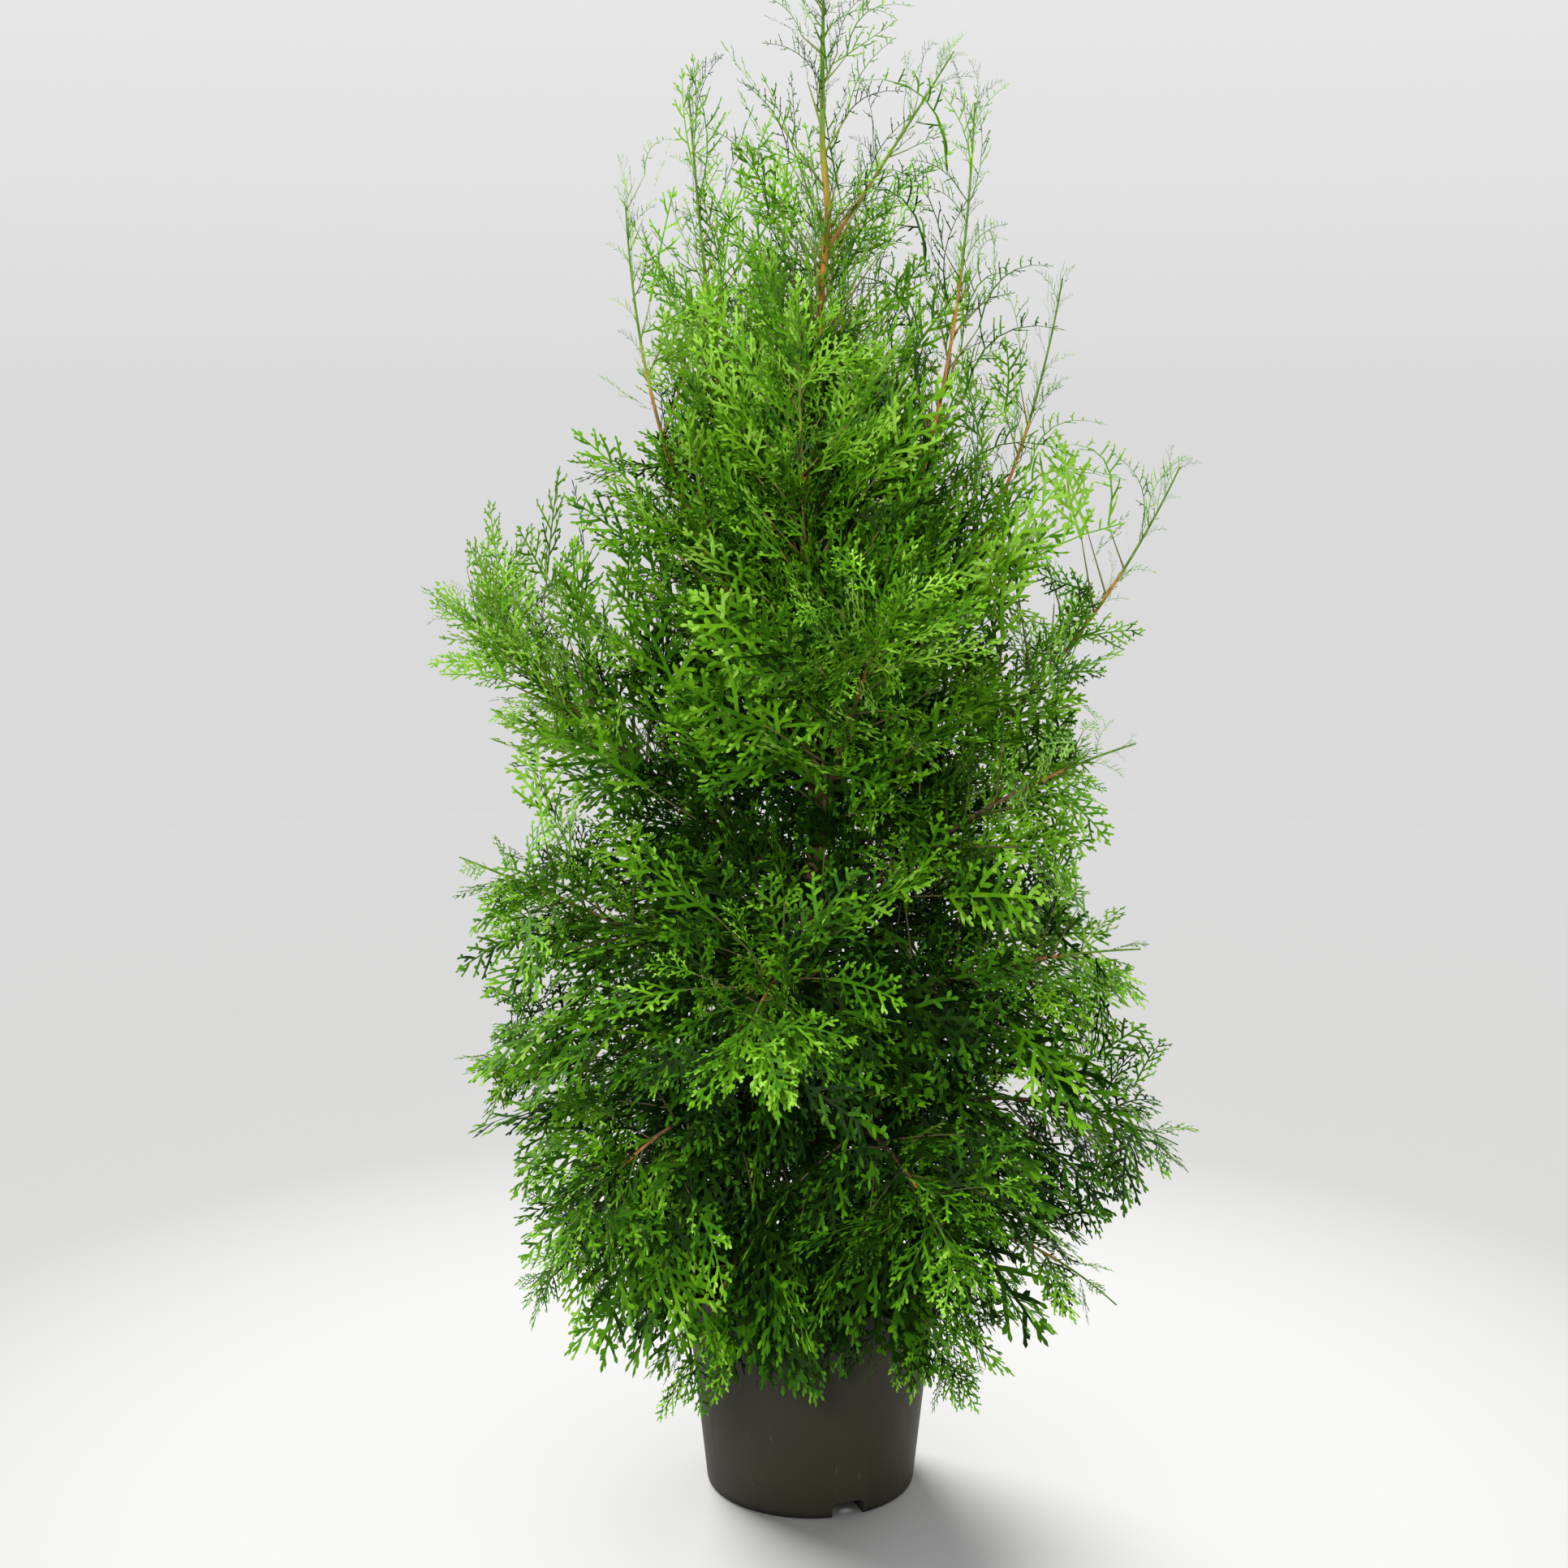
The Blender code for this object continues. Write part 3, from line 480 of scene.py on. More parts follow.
# each station has its height, its middle's x and y, and its radius
trunk = {
    "stations": (
        (0.2363, 0.0, 0.0, 0.0230),
        (0.2483, 0.0, 0.0, 0.0175),
        (0.2813, 0.0, 0.0, 0.0145),
        (0.420, 0.002, 0.002, 0.0130),
        (0.700, 0.004, 0.005, 0.0112),
        (1.000, 0.007, 0.003, 0.0090),
        (1.260, 0.009, 0.000, 0.0068),
        (1.440, 0.010, -0.002, 0.0050),
        (1.527, 0.018, -0.002, 0.0042),
        (1.600, 0.011, 0.000, 0.0034),
        (1.700, 0.011, 0.000, 0.0024),
        (1.778, 0.012, 0.000, 0.0013),
    ),
    "sides": 20, "step": 0.008, "fibreDepth": 0.06, "flare": 0.16, "youthFrom": 0.2, "youthSpan": 1.6,
}

tiers = {
    "skirt": {"belly": 0.55, "rise": 0.075, "radius": 0.0055, "twigs": 22,
              "twigLength": 0.120, "spread": 58, "lift": 0.05, "sides": 3, "frond": 0.145, "droop": 0.36,
              "hang": 0.34},
    "low": {"belly": 0.50, "rise": 0.100, "radius": 0.0065, "twigs": 29,
            "twigLength": 0.155, "spread": 58, "lift": 0.10, "sides": 3, "frond": 0.155, "droop": 0.24,
            "hang": 0.28},
    "middle": {"belly": 0.50, "rise": 0.120, "radius": 0.0070, "twigs": 35,
               "twigLength": 0.155, "spread": 58, "lift": 0.25, "sides": 3, "frond": 0.150,
               "droop": 0.10, "hang": 0.20},
    "shoulder": {"belly": 0.55, "rise": 0.190, "radius": 0.0070, "twigs": 42,
                 "twigLength": 0.155, "spread": 56, "lift": 0.50, "sides": 3, "frond": 0.145,
                 "droop": 0.0, "hang": 0.05},
    "leader": {"belly": 0.95, "rise": 0.150, "radius": 0.0065, "twigs": 50,
               "twigLength": 0.120, "spread": 52, "lift": 0.30, "sides": 3, "frond": 0.130,
               "droop": -0.20, "hang": -0.05},
    "top": {"belly": 0.50, "rise": 0.100, "radius": 0.0030, "twigs": 11,
            "twigLength": 0.060, "spread": 52, "lift": 0.25, "sides": 1, "frond": 0.085, "droop": -0.20,
            "hang": -0.05},
}

# name, azimuth (0 to the right, 270 to the front), where it leaves the trunk, reach, height of its tip
limbRows = (
    ("skirt_right", 352, 0.315, 0.385, 0.225), ("skirt_back_right", 62, 0.330, 0.350, 0.235),
    ("skirt_back_left", 124, 0.310, 0.350, 0.220), ("skirt_left", 186, 0.325, 0.352, 0.245),
    ("skirt_front_left", 243, 0.345, 0.330, 0.205), ("skirt_front_right", 300, 0.335, 0.330, 0.195),
    ("low_right", 8, 0.430, 0.478, 0.390), ("low_back", 84, 0.450, 0.420, 0.440),
    ("low_left", 164, 0.415, 0.445, 0.490), ("low_front_left", 226, 0.470, 0.410, 0.400),
    ("low_front_right", 292, 0.445, 0.420, 0.390),
    ("middle_right", 338, 0.560, 0.415, 0.700), ("middle_back_right", 52, 0.590, 0.400, 0.730),
    ("middle_back_left", 122, 0.555, 0.400, 0.690), ("middle_left", 188, 0.580, 0.436, 0.795),
    ("middle_front", 258, 0.605, 0.390, 0.640),
    ("shoulder_right", 4, 0.760, 0.440, 1.262, {"belly": 0.70, "twigs": 44}),
    ("shoulder_right_low", 336, 0.690, 0.405, 0.940, {"twigs": 32}),
    ("shoulder_back", 86, 0.740, 0.350, 1.050),
    ("shoulder_left", 176, 0.720, 0.446, 1.090, {"twigs": 56, "twigLength": 0.185, "lift": 0.75}),
    ("shoulder_front", 282, 0.790, 0.320, 1.080),
    ("leader_left", 174, 0.880, 0.150, 1.700, {"belly": 0.80, "rise": 0.30, "radius": 0.0080, "twigs": 56}),
    ("leader_far_left", 190, 0.960, 0.222, 1.560, {"rise": 0.20, "twigs": 48}),
    ("leader_right", 352, 0.985, 0.178, 1.684, {"rise": 0.20}),
    ("leader_far_right", 18, 0.920, 0.312, 1.490, {"belly": 0.80}),
    ("leader_front", 262, 1.020, 0.170, 1.400, {"radius": 0.0060}),
    ("leader_back", 88, 1.060, 0.170, 1.480, {"radius": 0.0060}),
    ("top_shoot", 8, 1.480, 0.155, 1.716, {"belly": 0.45, "radius": 0.0035}),
    ("top", 0, 1.600, 0.002, 1.803, {"twigs": 7}),
)

bough = {
    "tipRadius": 0.0008, "taper": 0.55, "end": 0.96, "steps": 32, "sides": 10, "fibreDepth": 0.07,
    "collar": 0.35, "collarLength": 0.02, "woodYouth": 0.2, "greenFrom": 0.45, "greenSpan": 0.35,
}


def trunkPoint(height):
    for below, above in zip(trunk["stations"], trunk["stations"][1:]):
        if height <= above[0]:
            share = (height - below[0]) / (above[0] - below[0])
            return Vector((below[1], below[2], below[0])).lerp(Vector((above[1], above[2], above[0])), share)
    top = trunk["stations"][-1]
    return Vector((top[1], top[2], top[0]))


def trunkRadius(height):
    heights, radii = zip(*((row[0], row[3]) for row in trunk["stations"]))
    return float(np.interp(height, heights, radii))


class Limb:
    def __init__(self, name, azimuth, leavesAt, reach, tipHeight, changes=None):
        self.name = name
        self.tier = name.split("_")[0]
        self.rule = {**tiers[self.tier], **(changes or {})}
        self.start = trunkPoint(leavesAt)
        self.out = Vector((math.cos(math.radians(azimuth)), math.sin(math.radians(azimuth)), 0))
        self.tip = Vector((self.start.x, self.start.y, tipHeight)) + self.out * reach
        self.bend = self.start + self.out * reach * self.rule["belly"] + Vector((0, 0, self.rule["rise"]))

    def at(self, share):
        return self.start.lerp(self.bend, share).lerp(self.bend.lerp(self.tip, share), share)

    def length(self):
        return sum((self.at(i / 10) - self.at(i / 10 - 0.1)).length for i in range(1, 11))

    def heading(self, share):
        return (self.at(min(share + 0.01, 1.0)) - self.at(share - 0.01)).normalized()

    def radius(self, share):
        return self.rule["radius"] + (bough["tipRadius"] - self.rule["radius"]) * share ** bough["taper"]


limbs = [Limb(*row) for row in limbRows]


# Bark: trunk and boughs as swept tubes with fibrous relief

# how closely the fibres lie round and along a stem, and the root flare's lobes
relief = {"round": 2.6, "along": 14, "shift": 9, "lobes": 5, "lobeTurn": 0.6, "flareHeight": 0.022}


def loopOrder(ring, edges):
    # the ring's points in order round it, from the one made first
    follow = {}
    for edge in edges:
        a, b = edge.verts
        follow.setdefault(a, []).append(b)
        follow.setdefault(b, []).append(a)
    order, last = [ring[0]], None
    while len(order) < len(ring):
        here = order[-1]
        onward = [vert for vert in follow[here] if vert is not last]
        last = here
        order.append(onward[0])
    return order


def sweep(bm, points, radii, youth, sides, fibre, flare=0.0):
    # rings of a circle drawn along the points, each pushed in and out by the fibres
    layer = bm.verts.layers.float.get("youth") or bm.verts.layers.float.new("youth")
    ring = bmesh.ops.create_circle(bm, segments=sides, radius=1, cap_ends=False)["verts"]
    edges = [edge for edge in bm.edges if edge.verts[0] in ring and edge.verts[1] in ring]
    side = Vector((1, 0, 0))
    run = 0.0
    for i, (point, radius) in enumerate(zip(points, radii)):
        if i:
            made = bmesh.ops.extrude_edge_only(bm, edges=edges)["geom"]
            ring = [item for item in made if isinstance(item, bmesh.types.BMVert)]
            edges = [item for item in made if isinstance(item, bmesh.types.BMEdge)
                     and item.verts[0] in ring and item.verts[1] in ring]
            run += (point - points[i - 1]).length
        ring = loopOrder(ring, edges)
        line = (points[min(i + 1, len(points) - 1)] - points[max(i - 1, 0)]).normalized()
        side = (side - line * side.dot(line)).normalized()
        across = line.cross(side)
        along = run * relief["along"] + points[0].z * relief["shift"]
        lobes = flare * math.exp(-run / relief["flareHeight"])
        for j, vert in enumerate(ring):
            turn = 2 * math.pi * j / sides
            at = Vector((math.cos(turn) * relief["round"], math.sin(turn) * relief["round"], along))
            lobe = lobes * math.cos(relief["lobes"] * turn + relief["lobeTurn"])
            out = side * math.cos(turn) + across * math.sin(turn)
            vert.co = point + out * radius * (1 + fibre * noise.noise(at) + lobe)
            vert[layer] = youth[i]
        if i == 0 or i == len(points) - 1:
            bmesh.ops.contextual_create(bm, geom=edges)


def youthAt(height):
    return (height - trunk["youthFrom"]) / trunk["youthSpan"]


def barkPiece(name, bm):
    bmesh.ops.recalc_face_normals(bm, faces=bm.faces)
    piece = addPiece(name, meshFrom(bm, name), bark)
    piece.data.shade_smooth()
    return piece


def makeTrunk():
    foot, top = trunk["stations"][0][0], trunk["stations"][-1][0]
    count = int((top - foot) / trunk["step"])
    heights = [foot + (top - foot) * i / count for i in range(count + 1)]
    bm = bmesh.new()
    sweep(bm, [trunkPoint(h) for h in heights], [trunkRadius(h) for h in heights],
          [youthAt(h) for h in heights], trunk["sides"], trunk["fibreDepth"], trunk["flare"])
    return barkPiece("trunkBark", bm)


def boughYouth(limb, share):
    # brown wood low in the plant, golden wood high up, and green toward the end
    young = limb.tier in ("leader", "top")
    age = youthAt(limb.at(share).z) if young else bough["woodYouth"] * share
    return max(age, ramped(share, bough["greenFrom"], bough["greenSpan"]))


def makeBoughs():
    bm = bmesh.new()
    shares = [bough["end"] * i / bough["steps"] for i in range(bough["steps"] + 1)]
    collars = [1 + bough["collar"] * math.exp(-share / bough["collarLength"]) for share in shares]
    for limb in limbs:
        if limb.name == "top":
            continue
        radii = [limb.radius(share) * collar for share, collar in zip(shares, collars)]
        sweep(bm, [limb.at(share) for share in shares], radii, [boughYouth(limb, share) for share in shares],
              bough["sides"], bough["fibreDepth"])
    return barkPiece("boughBark", bm)


trunkBark = makeTrunk()
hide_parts("trunk")
boughBark = makeBoughs()
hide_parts(*["bough_" + limb.name for limb in limbs if limb.name != "top"])
for piece in (trunkBark, boughBark):
    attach(piece, "root")
print("trunk and boughs made")


# Fronds: flat sprays of scale leaves, each an axis with side shoots and short fingers off those

frondKinds = {
    "fan": {"sideShoots": 11, "reach": 0.44, "widest": 0.28, "angle": 48, "fingerGap": 0.0112,
            "finger": 0.0205, "width": 0.0060, "twist": 0.25},
    "feather": {"sideShoots": 11, "reach": 0.38, "widest": 0.30, "angle": 44, "fingerGap": 0.0105,
                "finger": 0.0175, "width": 0.0050, "twist": 0.30},
    "lace": {"sideShoots": 8, "reach": 0.27, "widest": 0.34, "angle": 42, "fingerGap": 0.0135,
             "finger": 0.0155, "width": 0.0031, "twist": 0.35},
    "arch": {"sideShoots": 10, "reach": 0.23, "widest": 0.42, "angle": 48, "fingerGap": 0.0150,
             "finger": 0.0090, "width": 0.0022, "twist": 0.30},
}
frondRule = {
    "shapes": 8, "nominal": 0.15, "seed": 21, "axisSteps": 6, "axisThins": 0.10, "from": 0.07, "span": 0.85,
    "rootShare": 0.45, "outline": 0.80, "least": 0.012, "tip": 0.009, "ribWidths": (0.80, 0.85, 0.80, 0.45),
    "fingerAngle": 43, "fingerBase": 0.55, "fingerWidest": 0.64, "fingerRidge": (0.45, 0.34),
    "archSway": (-0.75, -0.45), "sway": (-0.22, 0.22), "curl": (0.10, 0.50),
}


class Flat:
    # gathers the corners and faces of one frond, which lies along +X and faces +Z

    def __init__(self):
        self.corners, self.faces, self.tones = [], [], []

    def finger(self, root, heading, length, width, tone):
        # a leafy tip, widest past its middle, with a raised back
        along = np.array((math.cos(heading), math.sin(heading), 0.0))
        across = np.array((-along[1], along[0], 0.0)) * width / 2
        base, widest = frondRule["fingerBase"], root + along * length * frondRule["fingerWidest"]
        ridgeAt, raised = frondRule["fingerRidge"]
        n = len(self.corners)
        self.corners += [root + across * base, root - across * base, widest - across, root + along * length,
                         widest + across, root + along * length * ridgeAt + np.array((0, 0, width * raised))]
        self.faces += [(n + i, n + (i + 1) % 5, n + 5) for i in range(5)]
        self.tones += [tone] * 5

    def ribbon(self, points, widths, tone):
        n = len(self.corners)
        for i, (point, width) in enumerate(zip(points, widths)):
            line = points[min(i + 1, len(points) - 1)] - points[max(i - 1, 0)]
            across = np.array((-line[1], line[0], 0.0))
            across *= width / 2 / (np.linalg.norm(across) + 1e-9)
            self.corners += [point + across, point - across]
        for i in range(len(points) - 1):
            a = n + 2 * i
            self.faces += [(a, a + 1, a + 3), (a, a + 3, a + 2)]
        self.tones += [tone] * (2 * (len(points) - 1))


def frondOutline(kind, t):
    # how far the side shoots reach at a share of the frond's length
    widest = frondKinds[kind]["widest"]
    if t < widest:
        return frondRule["rootShare"] + (1 - frondRule["rootShare"]) * t / widest
    return ((1 - t) / (1 - widest)) ** frondRule["outline"]


def growShoot(flat, kind, root, heading, length, envelope, tone, rng):
    # a curved rib with fingers on both sides and one at its end
    rule = frondKinds[kind]
    width = rule["width"]
    curl = -math.copysign(rng.uniform(*frondRule["curl"]), heading)
    lift = rng.uniform(-rule["twist"], rule["twist"])

    def along(u):
        turn = heading + curl * u / 2
        return root + np.array((math.cos(turn), math.sin(turn), lift * u)) * length * u

    flat.ribbon([along(u) for u in (0, 0.35, 0.7, 1.0)], [width * w for w in frondRule["ribWidths"]], tone)
    count = max(1, round(length * 0.85 / rule["fingerGap"]))
    way = rng.choice((-1, 1))
    for j in range(count):
        u = 0.15 + 0.82 * (j + rng.uniform(0.25, 0.75)) / count
        way = -way
        short = rule["finger"] * (1.0 - 0.50 * u) * (0.6 + 0.4 * envelope) * rng.uniform(0.75, 1.25)
        turn = heading + curl * u + way * math.radians(frondRule["fingerAngle"] + rng.uniform(-9, 9))
        # the outer fingers are a tone brighter: fresh growth, and a painted highlight on the tips
        flat.finger(along(u), turn, short, width * rng.uniform(0.85, 1.1), tone + (u > 0.5))
    flat.finger(along(0.97), heading + curl, frondRule["tip"], width * 0.85, tone + 1)


def growFrond(kind, rng):
    rule, size, steps = frondKinds[kind], frondRule["nominal"], frondRule["axisSteps"]
    width = rule["width"]
    flat = Flat()
    arched = kind == "arch"
    sway = rng.uniform(*frondRule["archSway" if arched else "sway"])

    def axis(t):
        return np.array((t * size, sway * size * (t * t - t), 0.0))

    flat.ribbon([axis(i / steps) for i in range(steps + 1)],
                [width * (1.0 - frondRule["axisThins"] * i) for i in range(steps + 1)], 0)
    side = rng.choice((-1, 1))
    for i in range(rule["sideShoots"]):
        t = frondRule["from"] + frondRule["span"] * (i + rng.uniform(-0.2, 0.2)) / (rule["sideShoots"] - 1)
        # an arched frond has most of its shoots on one side
        side = (-1 if i % 4 == 2 else 1) if arched else -side
        envelope = frondOutline(kind, t)
        length = size * rule["reach"] * envelope * rng.uniform(0.75, 1.15)
        heading = side * math.radians(rule["angle"] + rng.uniform(-7, 7))
        tone = rng.choice((-1, 0, 0, 1))
        # a shoot too short for a rib becomes one finger a tone brighter: fresh growth, and a painted
        # highlight
        if length < frondRule["least"]:
            flat.finger(axis(t), heading, max(length, frondRule["tip"]), width, 1)
        else:
            length *= 0.5 if arched and side < 0 else 1.0
            growShoot(flat, kind, axis(t), heading, length, envelope, tone, rng)
    # the end fingers are a tone brighter: fresh growth, and a painted highlight
    ends = axis(1.0) - axis(0.96)
    for turn, share in ((-0.55, 0.93), (0.0, 0.98), (0.50, 0.95)):
        flat.finger(axis(share), math.atan2(ends[1], ends[0]) + turn, 0.010, width * 0.8, 1)
    return np.array(flat.corners), np.array(flat.faces, dtype=np.int64), np.array(flat.tones)


rng = random.Random(frondRule["seed"])
fronds = {kind: [growFrond(kind, rng) for _ in range(frondRule["shapes"])] for kind in frondKinds}
print("frond shapes:", {kind: [len(shape[1]) for shape in shapes] for kind, shapes in fronds.items()})


# Crown: how far foliage may reach to each side, and how far out it stays dense, from the ground up

crown = {
    "height": (0.11, 0.17, 0.24, 0.30, 0.36, 0.42, 0.48, 0.54, 0.60, 0.66, 0.72, 0.78, 0.84, 0.90, 0.96,
               1.02, 1.07, 1.13, 1.19, 1.25, 1.30, 1.35, 1.41, 1.46, 1.52, 1.57, 1.63, 1.68, 1.73, 1.803),
    "right": (0.24, 0.27, 0.34, 0.35, 0.42, 0.46, 0.44, 0.46, 0.39, 0.38, 0.37, 0.36, 0.35, 0.35, 0.37,
              0.38, 0.385, 0.39, 0.39, 0.42, 0.35, 0.29, 0.31, 0.30, 0.25, 0.18, 0.18, 0.20, 0.15, 0.035),
    "left": (0.26, 0.28, 0.34, 0.33, 0.38, 0.41, 0.42, 0.43, 0.425, 0.43, 0.41, 0.39, 0.36, 0.38, 0.40,
             0.44, 0.44, 0.42, 0.38, 0.40, 0.27, 0.22, 0.21, 0.20, 0.22, 0.22, 0.16, 0.16, 0.12, 0.03),
    "depth": (0.25, 0.30, 0.37, 0.36, 0.41, 0.43, 0.43, 0.43, 0.41, 0.40, 0.39, 0.38, 0.37, 0.37, 0.38,
              0.38, 0.38, 0.37, 0.35, 0.33, 0.28, 0.25, 0.24, 0.22, 0.20, 0.18, 0.16, 0.16, 0.06, 0.03),
    "fullRight": (0.14, 0.16, 0.22, 0.25, 0.35, 0.42, 0.41, 0.41, 0.35, 0.33, 0.32, 0.31, 0.30, 0.28,
                  0.27, 0.24, 0.21, 0.20, 0.16, 0.12, 0.09, 0.06, 0.04, 0.02, 0.01, 0.00, 0.00, 0.00,
                  0.00, 0.03),
    "fullLeft": (0.15, 0.20, 0.22, 0.23, 0.31, 0.35, 0.38, 0.40, 0.39, 0.40, 0.38, 0.34, 0.31, 0.34,
                 0.36, 0.38, 0.38, 0.36, 0.25, 0.18, 0.17, 0.15, 0.13, 0.11, 0.10, 0.09, 0.06, 0.03,
                 0.00, 0.03),
    "fullDepth": (0.16, 0.22, 0.30, 0.28, 0.32, 0.35, 0.35, 0.35, 0.33, 0.33, 0.32, 0.31, 0.30, 0.31,
                  0.33, 0.31, 0.29, 0.28, 0.22, 0.18, 0.12, 0.08, 0.05, 0.03, 0.02, 0.01, 0.00, 0.00,
                  0.00, 0.03),
}


def crownReach(x, y, z, ways=("right", "left", "depth")):
    # how far foliage may stand out at each point's height and bearing
    away = np.hypot(x, y) + 1e-6
    right, left, depth = (np.interp(z, crown["height"], crown[way]) for way in ways)
    sideways = np.where(x > 0, right, left)
    mixed = (x / away) ** 2
    return sideways * mixed + depth * (1 - mixed)


def reachAt(point, *ways):
    x, y, z = (np.array((value,)) for value in point)
    return float(crownReach(x, y, z, *ways)[0])


def density(point):
    # 1 where the crown is dense, and less toward its edge
    edge = reachAt(point)
    full = reachAt(point, ("fullRight", "fullLeft", "fullDepth"))
    thinning = ramped(math.hypot(point[0], point[1]), full, max(edge - full, 0.01))
    return 1.0 - (1.0 - foliageRule["edgeDensity"]) * thinning ** 0.8


# Foliage: twigs on the limbs, with fronds at their ends and along them

foliageRule = {
    "seed": 5, "mostFaces": 190000, "turn": 137.5, "edgeDensity": 0.22,
    "lowest": (0.178, 0.215), "highest": 1.803, "limits": (0.90, 1.03), "slack": 0.004,
    "tipLimit": 1.07, "highTipLimit": 0.06, "highFrom": 1.1, "highSpan": 0.2,
    "sizes": (1.0, 0.86, 0.72, 0.58, 0.45), "tipsKept": 0.95, "archesKept": 0.32,
    "archHang": 0.40, "archShade": 0.35, "potGap": 0.012, "mostInPot": 0.35,
}

# hollows between one clump of sprays and the next
gaps = {
    "scale": 7.5, "from": 0.50, "below": -0.12, "share": 0.75, "sides": 0.27,
    "highFrom": 1.2, "narrows": 0.6,
}

# which kind of frond grows up to which height, and how often an arched one takes its place
kindRule = {
    "heights": (("fan", 0.82), ("feather", 1.38)), "last": "lace", "blur": 0.08, "archFrom": 0.95,
    "arches": 0.10, "archesRight": 0.75, "rightFrom": 0.04, "rightSpan": 0.12, "rightLeast": 0.2,
    "rightHeight": 1.0, "rightRise": 0.15, "archesHigh": 0.4, "highFrom": 1.45, "highSpan": 0.2,
}

# how much painted light or painted shade a spray gets: painted shade deep in the crown and painted light far
# out and at its sides, painted light by its height, and a random patch and chance
lightRule = {
    "steps": (0.50, 0.74, 0.98, 1.24), "outward": 0.75, "sideways": 0.25, "chance": 0.14,
    "patchScale": 9.0, "patchDepth": 0.30,
    "highFrom": 1.1, "highSpan": 0.35, "highDepth": 0.80, "highShare": 0.75,
    "heights": (0.2, 0.6, 0.95, 1.3, 1.5, 1.8), "gains": (-0.03, 0.02, 0.33, 0.49, 0.43, 0.31),
}

# which way a frond faces: out and up low down, and every way where the crown is steep
faceRule = {
    "outward": 0.50, "upward": 0.75, "wander": 0.52, "highWander": 0.45, "steepFrom": 0.6, "steepSpan": 0.5,
}

# twigs along a limb, each with a frond at its end and some at its sides
twigRule = {
    "from": 0.07, "span": 0.90, "sway": 9, "size": 1.05, "shortens": 0.62, "sizes": (0.75, 1.15),
    "laceSize": 0.7, "sag": 0.6, "frond": 1.12, "frondShortens": 0.30, "fronds": (0.85, 1.15),
    "laceFrond": 1.3, "archFronds": (1.3, 1.8), "archHangFrom": 1.1,
    "sideFrom": 0.25, "sideSpan": 0.60, "sideSway": 0.06, "sideLean": 0.85, "sideFronds": (0.65, 0.92),
    "sideShade": 0.5, "thickness": 0.7, "thickest": 0.0022, "sides": 5, "steps": 4, "thins": 0.15,
}

# fronds that clothe a limb between its twigs, and those at its end
stemRule = {
    "share": 0.75, "gap": 0.018, "from": 0.22, "span": 0.75, "size": 0.62, "sizes": (0.8, 1.2),
    "lean": 0.8, "thinFrom": 1.45, "thinOut": 0.85,
    "archFrom": 0.9, "archSize": 0.55, "thinSize": 0.85, "limitedTo": 0.6,
}
endRule = {"fronds": ((0.0, 0.84), (0.45, 0.90), (-0.45, 0.87)), "size": 0.9, "longest": 0.145, "hang": 0.4}

# sets of twigs round the leader: how many, from which height to which, and how long
leaderRule = {
    "sets": ((40, 0.60, 1.25, (0.20, 0.16)), (60, 1.22, 1.52, (0.14, 0.09)), (5, 1.55, 1.67, (0.08, 0.05)),
             (5, 1.70, 1.76, (0.035, 0.025))),
    "tier": "leader", "rise": (38, 62), "sizes": (0.7, 1.2), "frond": 0.115, "fronds": (0.8, 1.2),
    "frondsAt": (0.35, 0.65, 0.98), "sideLean": 0.9, "sideSize": 0.7, "radius": 0.0017, "thins": 0.2,
}


def sideOf(line, turn):
    # the direction square to a line, at a turn round it
    side = line.cross(Vector((0, 0, 1)))
    side = side.normalized() if side.length > 0.05 else Vector((1, 0, 0))
    return side.cross(line).normalized() * math.cos(turn) + side * math.sin(turn)


def clearOfPot(placed):
    # lays what would enter the pot on its wall, and says whether that was little enough
    far = np.hypot(placed[:, 0], placed[:, 1])
    rim = wallRadius(placed[:, 2]) + foliageRule["potGap"]
    inner = (placed[:, 2] < pot["height"] + 0.004) & (far < rim)
    placed[:, :2] *= np.where(inner, rim / np.maximum(far, 1e-4), 1.0)[:, None]
    return inner.mean() <= foliageRule["mostInPot"]


